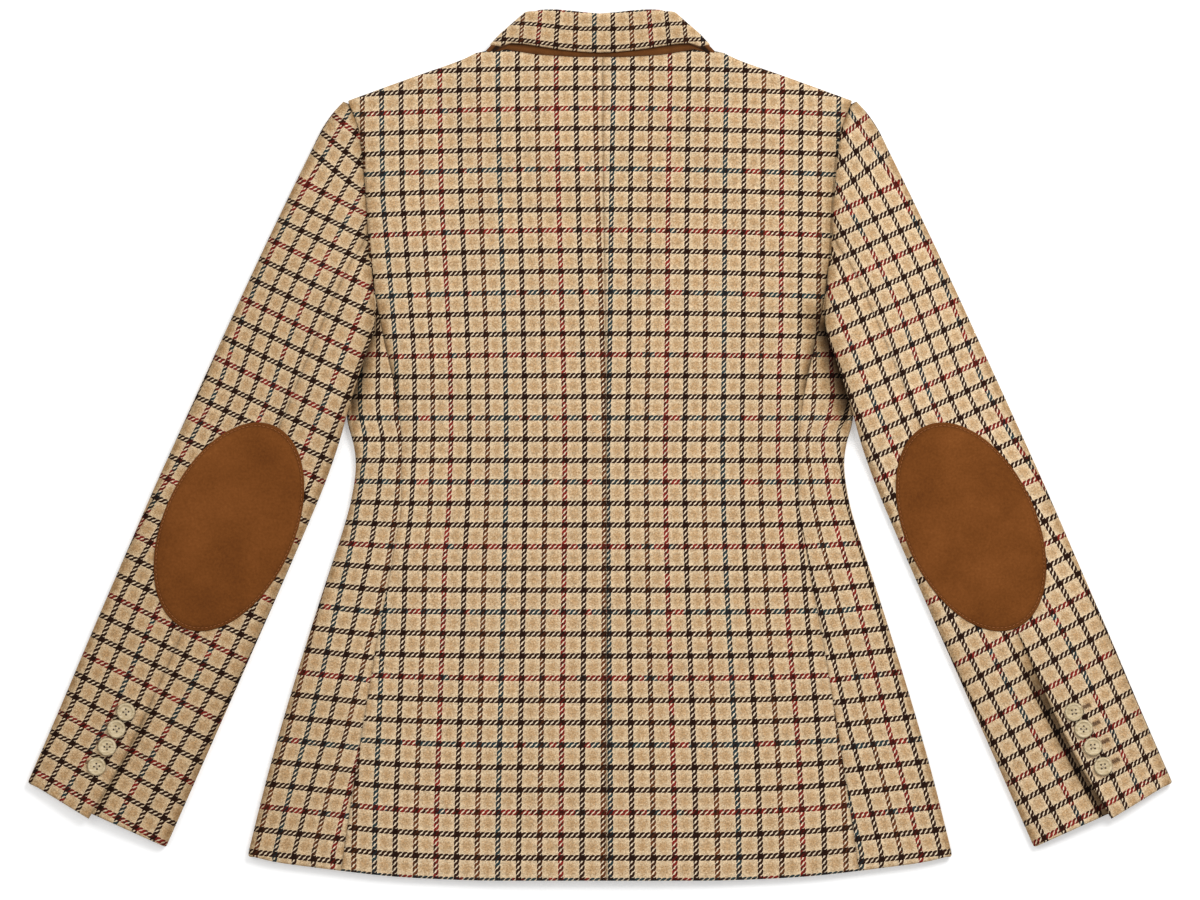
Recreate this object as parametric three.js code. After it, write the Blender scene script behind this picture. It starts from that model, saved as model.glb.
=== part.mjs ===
// A waisted, flared tweed blazer, laid flat with its front on the floor and its back up.
// Millimetres, +Z up, +X towards the wearer's right, +Y towards the collar.
// Each cut piece of cloth is one closed wall. Both halves come from the same tables, which
// hold the right half, with x counted outwards from the centre back.
import * as THREE from 'three';

// Cloth
const TWEED = 2.2;
const FELT = 1.4;
const SUEDE = 1.2;
const SEAM = 0.3;
const HALF_SEAM = SEAM / 2;

// Body
const BODY_HEIGHT = 9.2;
const CENTRE_RISE = 1.6;
const CENTRE_FLAT = 40;
const CENTRE_END = 130;
const NECK_RISE = 2.8;
const NECK_RISE_FROM = 230;
const NECK_RISE_TO = 305;
const NECK_RISE_WIDTH = 150;
const SHOULDER_REACH = BODY_HEIGHT / 2;
const SHOULDER_MIDDLE = 5.2;
const SHOULDER_GAP = 0.32;

// Centre front
const OVERLAP = 18;
const BREAK = { x: -OVERLAP, y: 20 };
const NECK = { x: 99, y: 313 };
const LAYER = TWEED + SEAM;
const FRONT_SPARE = 0.5;
const LIFT_CLEAR = 26;
const LIFT_EASE = 30;

// Sleeve: its top end is the shoulder point, and it leans out from the body.
const SHOULDER = { x: 204, y: 274 };
const SLEEVE_LEAN = THREE.MathUtils.degToRad(24.5);
const SLEEVE_FOLD = 4.6;
const TIP_FOLD = 2.4;
const TIP_LENGTH = 12;
const TIP_GAP = 1;
const SLEEVE_CROWN = 2.6;
const OVERHANG = 5.6;
const RIM_RADIUS = 2.5;
const PRINCESS_TOP = 126;
const UNDERARM = 214;
const CUFF = { along: 600, drop: 5.5, under: 601, outer: -5, edge: 50 };

// Collar
const COLLAR_HEIGHT = 16.3;
const WRAP_RADIUS = COLLAR_HEIGHT / 2;
const ROLL_RADIUS = 4.4;
const ROLL_TURN = THREE.MathUtils.degToRad(125);
const FELT_ROLL = ROLL_RADIUS - TWEED - SEAM;

// Buttons and patches
const SLEEVE_BUTTON = { diameter: 15, height: 3 };
const FRONT_BUTTON = { diameter: 20, height: 2.6 };
const PATCH_GAP = 0.5;
const PATCH = { along: 347, across: 56.8, length: 88.5, width: 52.4 };

// Side of the body: half width at each height above the middle of the back.
const SIDE = [
  { y: -326, x: 281 }, { y: -264, x: 265.5 }, { y: -204, x: 248.4 }, { y: -124, x: 223.5 },
  { y: -95, x: 214 }, { y: -68, x: 205.2 }, { y: -44, x: 198.8 }, { y: -15, x: 195.2 },
  { y: 0, x: 196.8 }, { y: 20, x: 202 }, { y: 39, x: 203 },
];
// Seam between back and side, from the hem to the armhole. The front's side seam lies below it.
const PRINCESS = [
  { y: -341, x: 207 }, { y: -240, x: 192 }, { y: -192, x: 184 }, { y: -150, x: 177 },
  { y: -107, x: 168.5 }, { y: -80, x: 164 }, { y: -45, x: 158.5 }, { y: 0, x: 158.5 },
  { y: 40, x: 163 }, { y: 88, x: 173.4 }, { y: 124.9, x: 180.7 },
];
const HEM = [
  { x: -20, y: -348 }, { x: 80, y: -348 }, { x: 135, y: -346.5 }, { x: 173, y: -344 },
  { x: 200, y: -341 }, { x: 228, y: -337.5 }, { x: 260, y: -333 }, { x: 281, y: -328 },
];
const BACK_NECK = [
  { x: 0, y: 311.5 }, { x: 40, y: 313.5 }, { x: 66, y: 316 }, { x: 84, y: 316 }, { x: 99, y: 313 },
];
const SHOULDER_LINE = [
  { x: 99, y: 313 }, { x: 110, y: 308 }, { x: 146, y: 295.2 }, { x: 188, y: 280 },
  { x: 204, y: 274.2 },
];

// Sleeve outline, measured along the sleeve and across it towards the body.
const OUTER_EDGE = [
  { along: 0, across: -1.2 }, { along: 12, across: -5 }, { along: 25, across: -7.4 },
  { along: 45, across: -8.2 }, { along: 90, across: -9.5 }, { along: 140, across: -10.4 },
  { along: 330, across: -10.8 }, { along: 400, across: -9.6 }, { along: 470, across: -8.2 },
  { along: 540, across: -6.2 }, { along: 606, across: -5 },
];
// The armhole down to where the sleeve folds over the body, then the sleeve's own inner fold.
const INNER_EDGE = [
  { along: 0, across: 3.6 }, { along: 5, across: 9.4 }, { along: 17, across: 21 },
  { along: 30, across: 30.4 }, { along: 45, across: 39 }, { along: 61, across: 48 },
  { along: 80, across: 58 }, { along: 106, across: 71.4 }, { along: 126, across: 83 },
  { along: 141, across: 91 }, { along: 156, across: 97 }, { along: 180, across: 99.5 },
  { along: 217, across: 104 }, { along: 250, across: 109 }, { along: 284, across: 112 },
  { along: 330, across: 113.5 }, { along: 430, across: 115 }, { along: 606, across: 117 },
];
// The armhole seam, all the way to the underarm.
const ARMHOLE = [
  { along: 0, across: 3.6 }, { along: 5, across: 9.4 }, { along: 17, across: 21 },
  { along: 30, across: 30.4 }, { along: 45, across: 39 }, { along: 61, across: 48 },
  { along: 80, across: 58 }, { along: 106, across: 71.4 }, { along: 126, across: 83 },
  { along: 141, across: 86 }, { along: 156, across: 89 }, { along: 180, across: 93 },
  { along: 199, across: 96.5 }, { along: 214, across: 99.5 },
];
const HINDARM_SEAM = [
  { along: 84, across: 60.2 }, { along: 98, across: 60.4 }, { along: 112, across: 58 },
  { along: 150, across: 57.2 }, { along: 213, across: 58.6 }, { along: 250, across: 60 },
  { along: 430, across: 58.3 }, { along: 550, across: 57 }, { along: 606, across: 51 },
];
// The forearm seam lies below, and starts from the underarm.
const FOREARM_SEAM = [
  { along: 214, across: 97.5 }, { along: 226, across: 94 }, { along: 245, across: 88 },
  { along: 290, across: 86 }, { along: 606, across: 91 },
];
// The under sleeve's edge: how far it turns under, on what radius, and the strip after the turn.
const TURN_UNDER = [
  { along: 88, turn: 0, arc: 0.5, strip: 0.3 },
  { along: 98, turn: 0, arc: 1.6, strip: 0.8 },
  { along: 112, turn: 0, arc: 2, strip: 0.8 },
  { along: 126, turn: 90, arc: 3.93, strip: 0.8 },
  { along: 142, turn: 180, arc: 7.85, strip: 1.2 },
  { along: 224, turn: 180, arc: 7.85, strip: 3 },
  { along: 272, turn: 180, arc: 14.45, strip: 20 },
  { along: 606, turn: 180, arc: 14.45, strip: 20 },
];
const SLEEVE_BUTTONS = [
  { along: 515.4, across: 43.4 }, { along: 530.9, across: 42 },
  { along: 546.9, across: 41.2 }, { along: 564.6, across: 40.2 },
];
const FRONT_BUTTONS = [{ y: -14 }, { y: -104 }];

// Lapel: its roll line is the front's, and this is its free edge up to the notch.
const LAPEL_EDGE = [{ x: 4, y: 71 }, { x: 34, y: 92 }, { x: 76, y: 146 }, { x: 116, y: 206 }];
const GORGE = { x: 70.5, y: 236 };

// Collar stations from the centre back round to the point: the start of the roll, the free
// edge, and how far the station has turned round the side of the neck. The felt below reaches
// past the free edge by felt, its roll starts lower by inset, and its stand runs to the neckline.
const COLLAR = [
  { rollX: 0, rollY: 340, edgeX: 0, edgeY: 314.3, turn: 0, felt: -0.7, inset: 3.5, stand: 28 },
  { rollX: 14, rollY: 341.2, edgeX: 14, edgeY: 314.7, turn: 0, felt: -0.7, inset: 3.5, stand: 28.8 },
  { rollX: 24, rollY: 342.4, edgeX: 30, edgeY: 316.2, turn: 0, felt: -0.7, inset: 3.5, stand: 29.2 },
  { rollX: 36, rollY: 343.4, edgeX: 46, edgeY: 318.4, turn: 0, felt: -0.4, inset: 3.5, stand: 29 },
  { rollX: 44, rollY: 343, edgeX: 60, edgeY: 320.6, turn: 0, felt: 0.8, inset: 6, stand: 28.4 },
  { rollX: 49, rollY: 340.8, edgeX: 72, edgeY: 321, turn: 0, felt: 2.8, inset: 11, stand: 29 },
  { rollX: 56, rollY: 337.4, edgeX: 82, edgeY: 318.4, turn: 0, felt: 6, inset: 15, stand: 32 },
  { rollX: 56, rollY: 337.4, edgeX: 82, edgeY: 318.4, turn: 36, felt: 6, inset: 15, stand: 21 },
  { rollX: 56, rollY: 337.4, edgeX: 82, edgeY: 318.4, turn: 72, felt: 5, inset: 15, stand: 19 },
  { rollX: 56, rollY: 337.4, edgeX: 82, edgeY: 318.4, turn: 108 },
  { rollX: 56, rollY: 337.4, edgeX: 82, edgeY: 318.4, turn: 144 },
  { rollX: 56, rollY: 337.4, edgeX: 82, edgeY: 318.4, turn: 180 },
  { rollX: 61, rollY: 318, edgeX: 94, edgeY: 303, turn: 180 },
  { rollX: 65, rollY: 290, edgeX: 112, edgeY: 274, turn: 180 },
  { rollX: 67, rollY: 254, edgeX: 118, edgeY: 228, turn: 180 },
];

const smooth = (value, from, to) => THREE.MathUtils.smoothstep(value, from, to);

// Value of one column of a table at a key, on a smooth curve through the rows.
function lookup(rows, key, column, at) {
  const last = rows.length - 1;
  const found = rows.findIndex((row) => row[key] > at);
  const i = found < 0 ? last - 1 : Math.max(found - 1, 0);
  const slope = (a, b) => (rows[b][column] - rows[a][column]) / (rows[b][key] - rows[a][key]);
  const here = slope(i, i + 1);
  const before = i > 0 ? slope(i - 1, i) : here;
  const after = i + 1 < last ? slope(i + 1, i + 2) : here;
  const start = before * here > 0 ? (before + here) / 2 : 0;
  const end = after * here > 0 ? (after + here) / 2 : 0;
  const span = rows[i + 1][key] - rows[i][key];
  const t = THREE.MathUtils.clamp((at - rows[i][key]) / span, 0, 1);
  const rise = rows[i + 1][column] - rows[i][column];
  const bend = (start * (1 - t) - end * t) * span + rise * (2 * t - 1);
  return rows[i][column] + rise * t + t * (1 - t) * bend;
}

// Point at a share of the length of a list of points.
function alongPoints(points, share) {
  const lengths = [0];
  for (let i = 1; i < points.length; i += 1) {
    const step = Math.hypot(points[i].x - points[i - 1].x, points[i].y - points[i - 1].y);
    lengths.push(lengths[i - 1] + step);
  }
  const wanted = share * lengths[lengths.length - 1];
  const i = Math.min(Math.max(lengths.findIndex((length) => length >= wanted), 1), points.length - 1);
  const t = (wanted - lengths[i - 1]) / (lengths[i] - lengths[i - 1]);
  return {
    x: THREE.MathUtils.lerp(points[i - 1].x, points[i].x, t),
    y: THREE.MathUtils.lerp(points[i - 1].y, points[i].y, t),
  };
}

// Plan of a four-sided panel: its two side edges have a point for each row, from the hem up,
// and its ends run outwards.
function coons(left, right, bottom, top, columns) {
  const span = right.at(-1).y - right[0].y;
  return right.map((edge, row) => {
    const v = (edge.y - right[0].y) / span;
    return columns.map((u) => {
      const mix = (axis) => {
        const across = (1 - u) * left[row][axis] + u * edge[axis];
        const up = (1 - v) * bottom(u)[axis] + v * top(u)[axis];
        const low = (1 - u) * left[0][axis] + u * right[0][axis];
        const high = (1 - u) * left.at(-1)[axis] + u * right.at(-1)[axis];
        return across + up - (1 - v) * low - v * high;
      };
      return { x: mix('x'), y: mix('y') };
    });
  });
}

// Direction of a curve at a point, from its neighbours on both sides, or from the next two at an end.
function tangent(before, here, after, beyond) {
  const ahead = after.clone().sub(here);
  const behind = before ? here.clone().sub(before) : beyond.clone().sub(after);
  const a = ahead.length();
  const b = behind.length();
  ahead.divideScalar(a);
  behind.divideScalar(b);
  if (before) return ahead.multiplyScalar(b).add(behind.multiplyScalar(a)).normalize();
  return ahead.clone().addScaledVector(ahead.clone().sub(behind), a / (a + b)).normalize();
}

function directions(points) {
  const last = points.length - 1;
  return points.map((point, i) => {
    if (i === 0) return tangent(null, point, points[1], points[2]);
    if (i === last) return tangent(null, point, points[last - 1], points[last - 2]).negate();
    return tangent(points[i - 1], point, points[i + 1]);
  });
}

// Moves each point of a grid along the grid's normal there.
function offset(grid, distance) {
  const across = grid.map(directions);
  const along = grid[0].map((_, c) => directions(grid.map((row) => row[c])));
  return grid.map((row, r) => row.map((point, c) => {
    const normal = across[r][c].clone().cross(along[c][r]).normalize();
    return point.clone().addScaledVector(normal, distance);
  }));
}

// Closed wall between two grids of the same shape.
function wall(outer, inner) {
  const rows = outer.length;
  const columns = outer[0].length;
  const positions = [];
  for (const grid of [outer, inner]) {
    for (const row of grid) {
      for (const point of row) positions.push(point.x, point.y, point.z);
    }
  }
  const id = (layer, r, c) => layer * rows * columns + r * columns + c;
  const faces = [];
  const quad = (a, b, c, d) => faces.push(a, b, c, a, c, d);
  for (let r = 0; r + 1 < rows; r += 1) {
    for (let c = 0; c + 1 < columns; c += 1) {
      quad(id(0, r, c), id(0, r, c + 1), id(0, r + 1, c + 1), id(0, r + 1, c));
      quad(id(1, r + 1, c), id(1, r + 1, c + 1), id(1, r, c + 1), id(1, r, c));
    }
    quad(id(0, r + 1, 0), id(1, r + 1, 0), id(1, r, 0), id(0, r, 0));
    quad(id(0, r, columns - 1), id(1, r, columns - 1), id(1, r + 1, columns - 1), id(0, r + 1, columns - 1));
  }
  for (let c = 0; c + 1 < columns; c += 1) {
    quad(id(0, 0, c), id(1, 0, c), id(1, 0, c + 1), id(0, 0, c + 1));
    quad(id(0, rows - 1, c + 1), id(1, rows - 1, c + 1), id(1, rows - 1, c), id(0, rows - 1, c));
  }
  return solid(positions, faces);
}

// Geometry whose faces point out, whichever way round they were listed.
function solid(positions, faces) {
  const corner = (i) => new THREE.Vector3().fromArray(positions, faces[i] * 3);
  let volume = 0;
  for (let i = 0; i < faces.length; i += 3) {
    volume += corner(i).dot(corner(i + 1).cross(corner(i + 2)));
  }
  const outward = volume > 0 ? faces : [...faces].reverse();
  const geometry = new THREE.BufferGeometry();
  geometry.setAttribute('position', new THREE.Float32BufferAttribute(positions, 3));
  geometry.setIndex(outward);
  geometry.computeVertexNormals();
  return geometry;
}

// Closed wall whose outer side is the grid and whose inner side lies towards the inside.
function cloth(grid, thickness, inward) {
  return wall(grid, offset(grid, thickness * inward));
}

const steps = (count) => Array.from({ length: count + 1 }, (_, i) => i / count);

// Where a sleeve's own coordinates lie on the plan.
function sleevePlan(along, across) {
  const down = Math.cos(SLEEVE_LEAN);
  const out = Math.sin(SLEEVE_LEAN);
  return {
    x: SHOULDER.x + along * out - across * down,
    y: SHOULDER.y - along * down - across * out,
  };
}

// Height of the back's upper surface.
function bodyTop(x, y) {
  const centre = CENTRE_RISE * (1 - smooth(Math.abs(x), CENTRE_FLAT, CENTRE_END));
  const neck = NECK_RISE * smooth(y, NECK_RISE_FROM, NECK_RISE_TO);
  const inside = 1 - smooth(Math.abs(x), NECK.x, NECK_RISE_WIDTH);
  return BODY_HEIGHT + Math.max(centre, neck * inside);
}

// How far a point lies outside a polygon on the plan, and 0 inside it.
function outside(polygon, x, y) {
  let within = false;
  let nearest = Infinity;
  polygon.forEach((a, i) => {
    const b = polygon[(i + 1) % polygon.length];
    if (a.y > y !== b.y > y && x < a.x + ((b.x - a.x) * (y - a.y)) / (b.y - a.y)) within = !within;
    const span = (b.x - a.x) ** 2 + (b.y - a.y) ** 2;
    const t = THREE.MathUtils.clamp(((x - a.x) * (b.x - a.x) + (y - a.y) * (b.y - a.y)) / span, 0, 1);
    nearest = Math.min(nearest, Math.hypot(x - a.x - t * (b.x - a.x), y - a.y - t * (b.y - a.y)));
  });
  return within ? 0 : nearest;
}

const leaf = COLLAR.filter((station) => station.turn === 180);
// Plan outlines of the lapel and the collar's leaf, on which a front lies.
const LAYERED = [
  [...LAPEL_EDGE, GORGE],
  [
    ...leaf.map((station) => ({ x: station.rollX, y: station.rollY })),
    ...leaf.map((station) => ({ x: station.edgeX, y: station.edgeY })).reverse(),
  ],
];

const outsideBy = (distance) => 1 - smooth(distance, LIFT_CLEAR, LIFT_CLEAR + LIFT_EASE);

// Height of the right front's lower surface: it lies on its lapel, its collar and the buttons.
function rightBottom(x, y) {
  const rises = LAYERED.map((polygon) => LAYER * outsideBy(outside(polygon, x, y)));
  const buttons = FRONT_BUTTONS.map((place) => (
    (FRONT_BUTTON.height + SEAM) * outsideBy(Math.hypot(x, y - place.y) - FRONT_BUTTON.diameter / 2)));
  return Math.max(...rises, ...buttons);
}

// The left front lies over the right one where they overlap.
function frontBottom(side, x, y) {
  if (side > 0) return rightBottom(x, y);
  const overlapped = outsideBy(x - OVERLAP) * outsideBy(y - BREAK.y - OVERLAP * 2.5);
  return Math.max(rightBottom(x, y), overlapped * (rightBottom(-x, y) + LAYER + FRONT_SPARE));
}

const armhole = (along) => lookup(ARMHOLE, 'along', 'across', along);

// Rows that neighbouring panels share: up the princess seam, then round the armhole.
const PRINCESS_ROWS = 11;
const ARMHOLE_STATIONS = [PRINCESS_TOP, 112, 98, 84, 58, 38, 22, 10, 4];

function princessPoints(shift) {
  const low = lookup(HEM, 'x', 'y', PRINCESS[0].x);
  const points = steps(PRINCESS_ROWS).map((t) => {
    const y = THREE.MathUtils.lerp(low, PRINCESS.at(-1).y, t);
    return { x: lookup(PRINCESS, 'y', 'x', y) + shift, y };
  });
  return points.slice(0, -1);
}

// The back's and the front's outer edge.
const outerEdgePoints = () => [
  ...princessPoints(-HALF_SEAM),
  ...ARMHOLE_STATIONS.map((along) => sleevePlan(along, armhole(along) + SEAM)),
];

// A panel's inner edge with a point level with each point of its outer edge.
function levelWith(edge, points) {
  const span = edge.at(-1).y - edge[0].y;
  return edge.map((point) => alongPoints(points, (point.y - edge[0].y) / span));
}

// Rows that carry a panel past its top edge, turning down or up as they go.
function rolledRows(plan, reach, turnAt, first) {
  const edge = plan.length - 1;
  return steps(ROLL_ROWS).slice(1).map((t) => plan[edge].map((point, c) => {
    const before = plan[edge][Math.max(c - 1, 0)];
    const after = plan[edge][Math.min(c + 1, plan[edge].length - 1)];
    const length = Math.hypot(after.x - before.x, after.y - before.y);
    const out = c > 0 ? { x: -(after.y - before.y) / length, y: (after.x - before.x) / length } : first;
    const turn = Math.max(turnAt(point.x), 0.01);
    const radius = reach / Math.sin(turn);
    const forward = radius * Math.sin(turn * t);
    const drop = radius * (1 - Math.cos(turn * t));
    return { x: point.x + out.x * forward, y: point.y + out.y * forward, z: drop / reach };
  }));
}

const NECK_SHARE = 0.485;
const BACK_COLUMNS = [0, 0.12, 0.24, 0.36, NECK_SHARE, 0.57, 0.68, 0.79, 0.9, 1];
const ROLL_ROWS = 3;
const SHOULDER_OUT = { x: 0.36, y: 0.93 };

const insetShoulder = () => SHOULDER_LINE.map((point) => ({
  x: point.x - SHOULDER_REACH * SHOULDER_OUT.x,
  y: point.y - SHOULDER_REACH * SHOULDER_OUT.y,
}));

function backPanel(side) {
  const edge = outerEdgePoints();
  const hem = (u) => {
    const x = THREE.MathUtils.lerp(HALF_SEAM, edge[0].x, u);
    return { x, y: lookup(HEM, 'x', 'y', x) };
  };
  const neckline = BACK_NECK.map((point) => ({ x: point.x + HALF_SEAM, y: point.y - SHOULDER_REACH }));
  const shoulder = [neckline.at(-1), ...insetShoulder().slice(1, -1), edge.at(-1)];
  const top = (u) => (u <= NECK_SHARE ? alongPoints(neckline, u / NECK_SHARE)
    : alongPoints(shoulder, (u - NECK_SHARE) / (1 - NECK_SHARE)));
  const plan = coons(levelWith(edge, [hem(0), neckline[0]]), edge, hem, top, BACK_COLUMNS);
  const flat = plan.map((row) => row.map((p) => new THREE.Vector3(p.x * side, p.y, bodyTop(p.x, p.y))));
  const onShoulder = (x) => smooth(x, NECK.x - 4, NECK.x + 12);
  const turnAt = (x) => (Math.PI / 2) * onShoulder(x);
  const rolled = rolledRows(plan, SHOULDER_REACH, turnAt, { x: 0, y: 1 });
  const bent = rolled.map((row) => row.map((p, c) => {
    const start = flat.at(-1)[c];
    return new THREE.Vector3(p.x * side, p.y, start.z - p.z * (start.z - SHOULDER_MIDDLE - SHOULDER_GAP));
  }));
  return cloth([...flat, ...bent], TWEED, -side);
}

function frontPanel(side) {
  const edge = outerEdgePoints();
  const hem = (u) => {
    const x = THREE.MathUtils.lerp(-OVERLAP, edge[0].x, u);
    return { x, y: lookup(HEM, 'x', 'y', Math.max(x, 0)) };
  };
  const shoulder = [...insetShoulder().slice(0, -1), edge.at(-1)];
  const opening = levelWith(edge, [hem(0), BREAK, shoulder[0]]);
  const plan = coons(opening, edge, hem, (u) => alongPoints(shoulder, u), steps(9));
  const flat = plan.map((row) => row.map((p) => (
    new THREE.Vector3(p.x * side, p.y, frontBottom(side, p.x, p.y)))));
  const rolled = rolledRows(plan, SHOULDER_REACH, () => Math.PI / 2, SHOULDER_OUT);
  const bent = rolled.map((row) => row.map((p, c) => {
    const start = flat.at(-1)[c];
    const rise = SHOULDER_MIDDLE - SHOULDER_GAP - start.z;
    return new THREE.Vector3(p.x * side, p.y, start.z + p.z * rise);
  }));
  return cloth([...flat, ...bent], TWEED, side);
}

// Panel round the body's side, from the back's princess seam to the front's beneath.
function sidePanel(side) {
  const radius = BODY_HEIGHT / 2;
  const foldX = (y) => lookup(SIDE, 'y', 'x', y) - radius;
  const scyeAt = (t) => {
    const along = THREE.MathUtils.lerp(PRINCESS_TOP, UNDERARM - 5, t);
    return sleevePlan(along, armhole(along) + SEAM);
  };
  const start = scyeAt(0);
  const seam = [...princessPoints(HALF_SEAM), { x: start.x + SEAM, y: start.y }];
  const low = { x: foldX(SIDE[0].y), y: lookup(HEM, 'x', 'y', foldX(SIDE[0].y)) };
  const high = scyeAt(1);
  const fold = levelWith(seam, [low, { x: low.x, y: high.y }]).map(({ y }) => ({ x: foldX(y), y }));
  const hem = (u) => {
    const x = THREE.MathUtils.lerp(seam[0].x, low.x, u);
    return { x, y: lookup(HEM, 'x', 'y', x) };
  };
  const scye = (u) => {
    const point = scyeAt(u);
    return { x: point.x + (seam.at(-1).x - start.x) * (1 - u) + (fold.at(-1).x - high.x) * u, y: point.y };
  };
  const plan = coons(fold, seam, (u) => hem(1 - u), (u) => scye(1 - u), steps(4).reverse());
  const grid = plan.map((flat) => {
    const here = flat.at(-1);
    const lean = (foldX(here.y + 1) - foldX(here.y - 1)) / 2;
    const out = new THREE.Vector2(1, -lean).normalize();
    const top = flat.map((p) => new THREE.Vector3(p.x * side, p.y, BODY_HEIGHT));
    const arc = steps(6).slice(1, -1).map((t) => {
      const reach = radius * Math.sin(Math.PI * t);
      const z = radius * (1 + Math.cos(Math.PI * t));
      return new THREE.Vector3((here.x + out.x * reach) * side, here.y + out.y * reach, z);
    });
    const bottom = [...flat].reverse().map((p) => new THREE.Vector3(p.x * side, p.y, 0));
    return [...top, ...arc, ...bottom];
  });
  return cloth(grid, TWEED, -side);
}

// Lapel, turned flat against the floor under its front.
function lapel(side) {
  const rollAt = (y) => {
    const t = (y - BREAK.y) / (NECK.y - BREAK.y);
    return { x: THREE.MathUtils.lerp(BREAK.x, NECK.x, t) + 1, y };
  };
  const edge = steps(7).map((t) => alongPoints(LAPEL_EDGE, t));
  const roll = levelWith(edge, [rollAt(LAPEL_EDGE[0].y + 3), rollAt(GORGE.y)]);
  const start = (u) => alongPoints([roll[0], edge[0]], u);
  const gorge = (u) => alongPoints([roll.at(-1), edge.at(-1)], u);
  const plan = coons(roll, edge, start, gorge, steps(4));
  const at = (height) => plan.map((row) => row.map((p) => new THREE.Vector3(p.x * side, p.y, height)));
  return wall(at(0), at(TWEED));
}

const sleeveOuter = (along) => lookup(OUTER_EDGE, 'along', 'across', along);
const sleeveInner = (along) => lookup(INNER_EDGE, 'along', 'across', along);

// Height of a sleeve's upper surface: crowned, and raised where it folds over the body.
function sleeveTop(along, across) {
  const from = sleeveOuter(along) + foldRadius(along);
  const to = Math.max(sleeveInner(along) - RIM_RADIUS, from + 1);
  const share = THREE.MathUtils.clamp((across - from) / (to - from), 0, 1);
  const crown = SLEEVE_CROWN * 4 * share * (1 - share) * smooth(along, 30, 140);
  const raised = smooth(along, 100, 127) * (1 - smooth(along, 226, 285));
  const base = SLEEVE_FOLD + foldRadius(along);
  return base + crown + OVERHANG * raised * smooth(share, 0.4, 1);
}

const foldRadius = (along) => THREE.MathUtils.lerp(TIP_FOLD, SLEEVE_FOLD, smooth(along, 0, TIP_LENGTH));

const onSleeve = (side, along, across, z) => {
  const plan = sleevePlan(along, across);
  return new THREE.Vector3(plan.x * side, plan.y, z);
};

// Rows of the sleeve below the armhole's own, down to the cuff.
const LOWER_STATIONS = [142, 165, 190, UNDERARM, 226, 240, 256, 272, 310, 370, 430, 490, 550, 585,
  CUFF.under];

// Upper panel of a sleeve, round its outer fold from the hindarm seam to the forearm seam beneath.
function topSleeve(side) {
  const cap = [0, ...[...ARMHOLE_STATIONS].reverse().slice(1)];
  const grid = [...cap, ...LOWER_STATIONS].map((along) => {
    const hem = smooth(along, LOWER_STATIONS.at(-3), CUFF.under);
    const down = (across) => {
      const share = THREE.MathUtils.clamp((across - CUFF.outer) / (CUFF.edge - CUFF.outer), 0, 1);
      return along + (CUFF.along - CUFF.under + CUFF.drop * share) * hem;
    };
    const radius = foldRadius(along);
    const fold = sleeveOuter(along) + radius;
    const onArmhole = armhole(Math.min(along, UNDERARM)) - TIP_GAP * (1 - smooth(along, 0, TIP_LENGTH));
    const seam = along <= HINDARM_SEAM[0].along ? onArmhole
      : lookup(HINDARM_SEAM, 'along', 'across', down(CUFF.edge)) - HALF_SEAM;
    const below = along < UNDERARM ? onArmhole - SEAM
      : lookup(FOREARM_SEAM, 'along', 'across', along) - HALF_SEAM;
    const top = steps(5).map((t) => {
      const across = THREE.MathUtils.lerp(Math.max(seam, fold + 0.5), fold, t);
      return onSleeve(side, down(across), across, sleeveTop(along, across));
    });
    const arc = steps(6).slice(1, -1).map((t) => {
      const across = fold - radius * Math.sin(Math.PI * t);
      return onSleeve(side, down(across), across, SLEEVE_FOLD + radius * Math.cos(Math.PI * t));
    });
    const bottom = steps(4).map((t) => {
      const across = THREE.MathUtils.lerp(fold, Math.max(below, fold + 0.5), t);
      return onSleeve(side, down(across), across, SLEEVE_FOLD - radius);
    });
    return [...top, ...arc, ...bottom];
  });
  return cloth(grid, TWEED, side);
}

// Lower panel of a sleeve, from the hindarm seam round its inner edge.
function underSleeve(side) {
  const cap = [88, 98, 112, PRINCESS_TOP];
  const grid = [...cap, ...LOWER_STATIONS].map((along) => {
    const turn = THREE.MathUtils.degToRad(lookup(TURN_UNDER, 'along', 'turn', along));
    const arc = lookup(TURN_UNDER, 'along', 'arc', along);
    const strip = lookup(TURN_UNDER, 'along', 'strip', along);
    const bend = Math.max(turn, 0.01) / arc;
    const furthest = turn > Math.PI / 2 ? 1 / bend : Math.sin(turn) / bend + strip * Math.cos(turn);
    const from = lookup(HINDARM_SEAM, 'along', 'across', along) + HALF_SEAM;
    const to = sleeveInner(along) - (turn > 0.01 ? furthest : arc + strip);
    const height = sleeveTop(along, to);
    const top = steps(4).map((t) => {
      const across = THREE.MathUtils.lerp(from, to, t);
      return onSleeve(side, along, across, sleeveTop(along, across));
    });
    const point = (length) => {
      const bent = Math.min(length, arc);
      const rest = Math.max(length - arc, 0);
      const across = to + Math.sin(bend * bent) / bend + rest * Math.cos(turn);
      const z = height - (1 - Math.cos(bend * bent)) / bend - rest * Math.sin(turn);
      return onSleeve(side, along, across, z);
    };
    const curl = steps(4).slice(1).map((t) => point(arc * t));
    const rest = steps(2).slice(1).map((t) => point(arc + strip * t));
    return [...top, ...curl, ...rest];
  });
  return cloth(grid, TWEED, -side);
}

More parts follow.
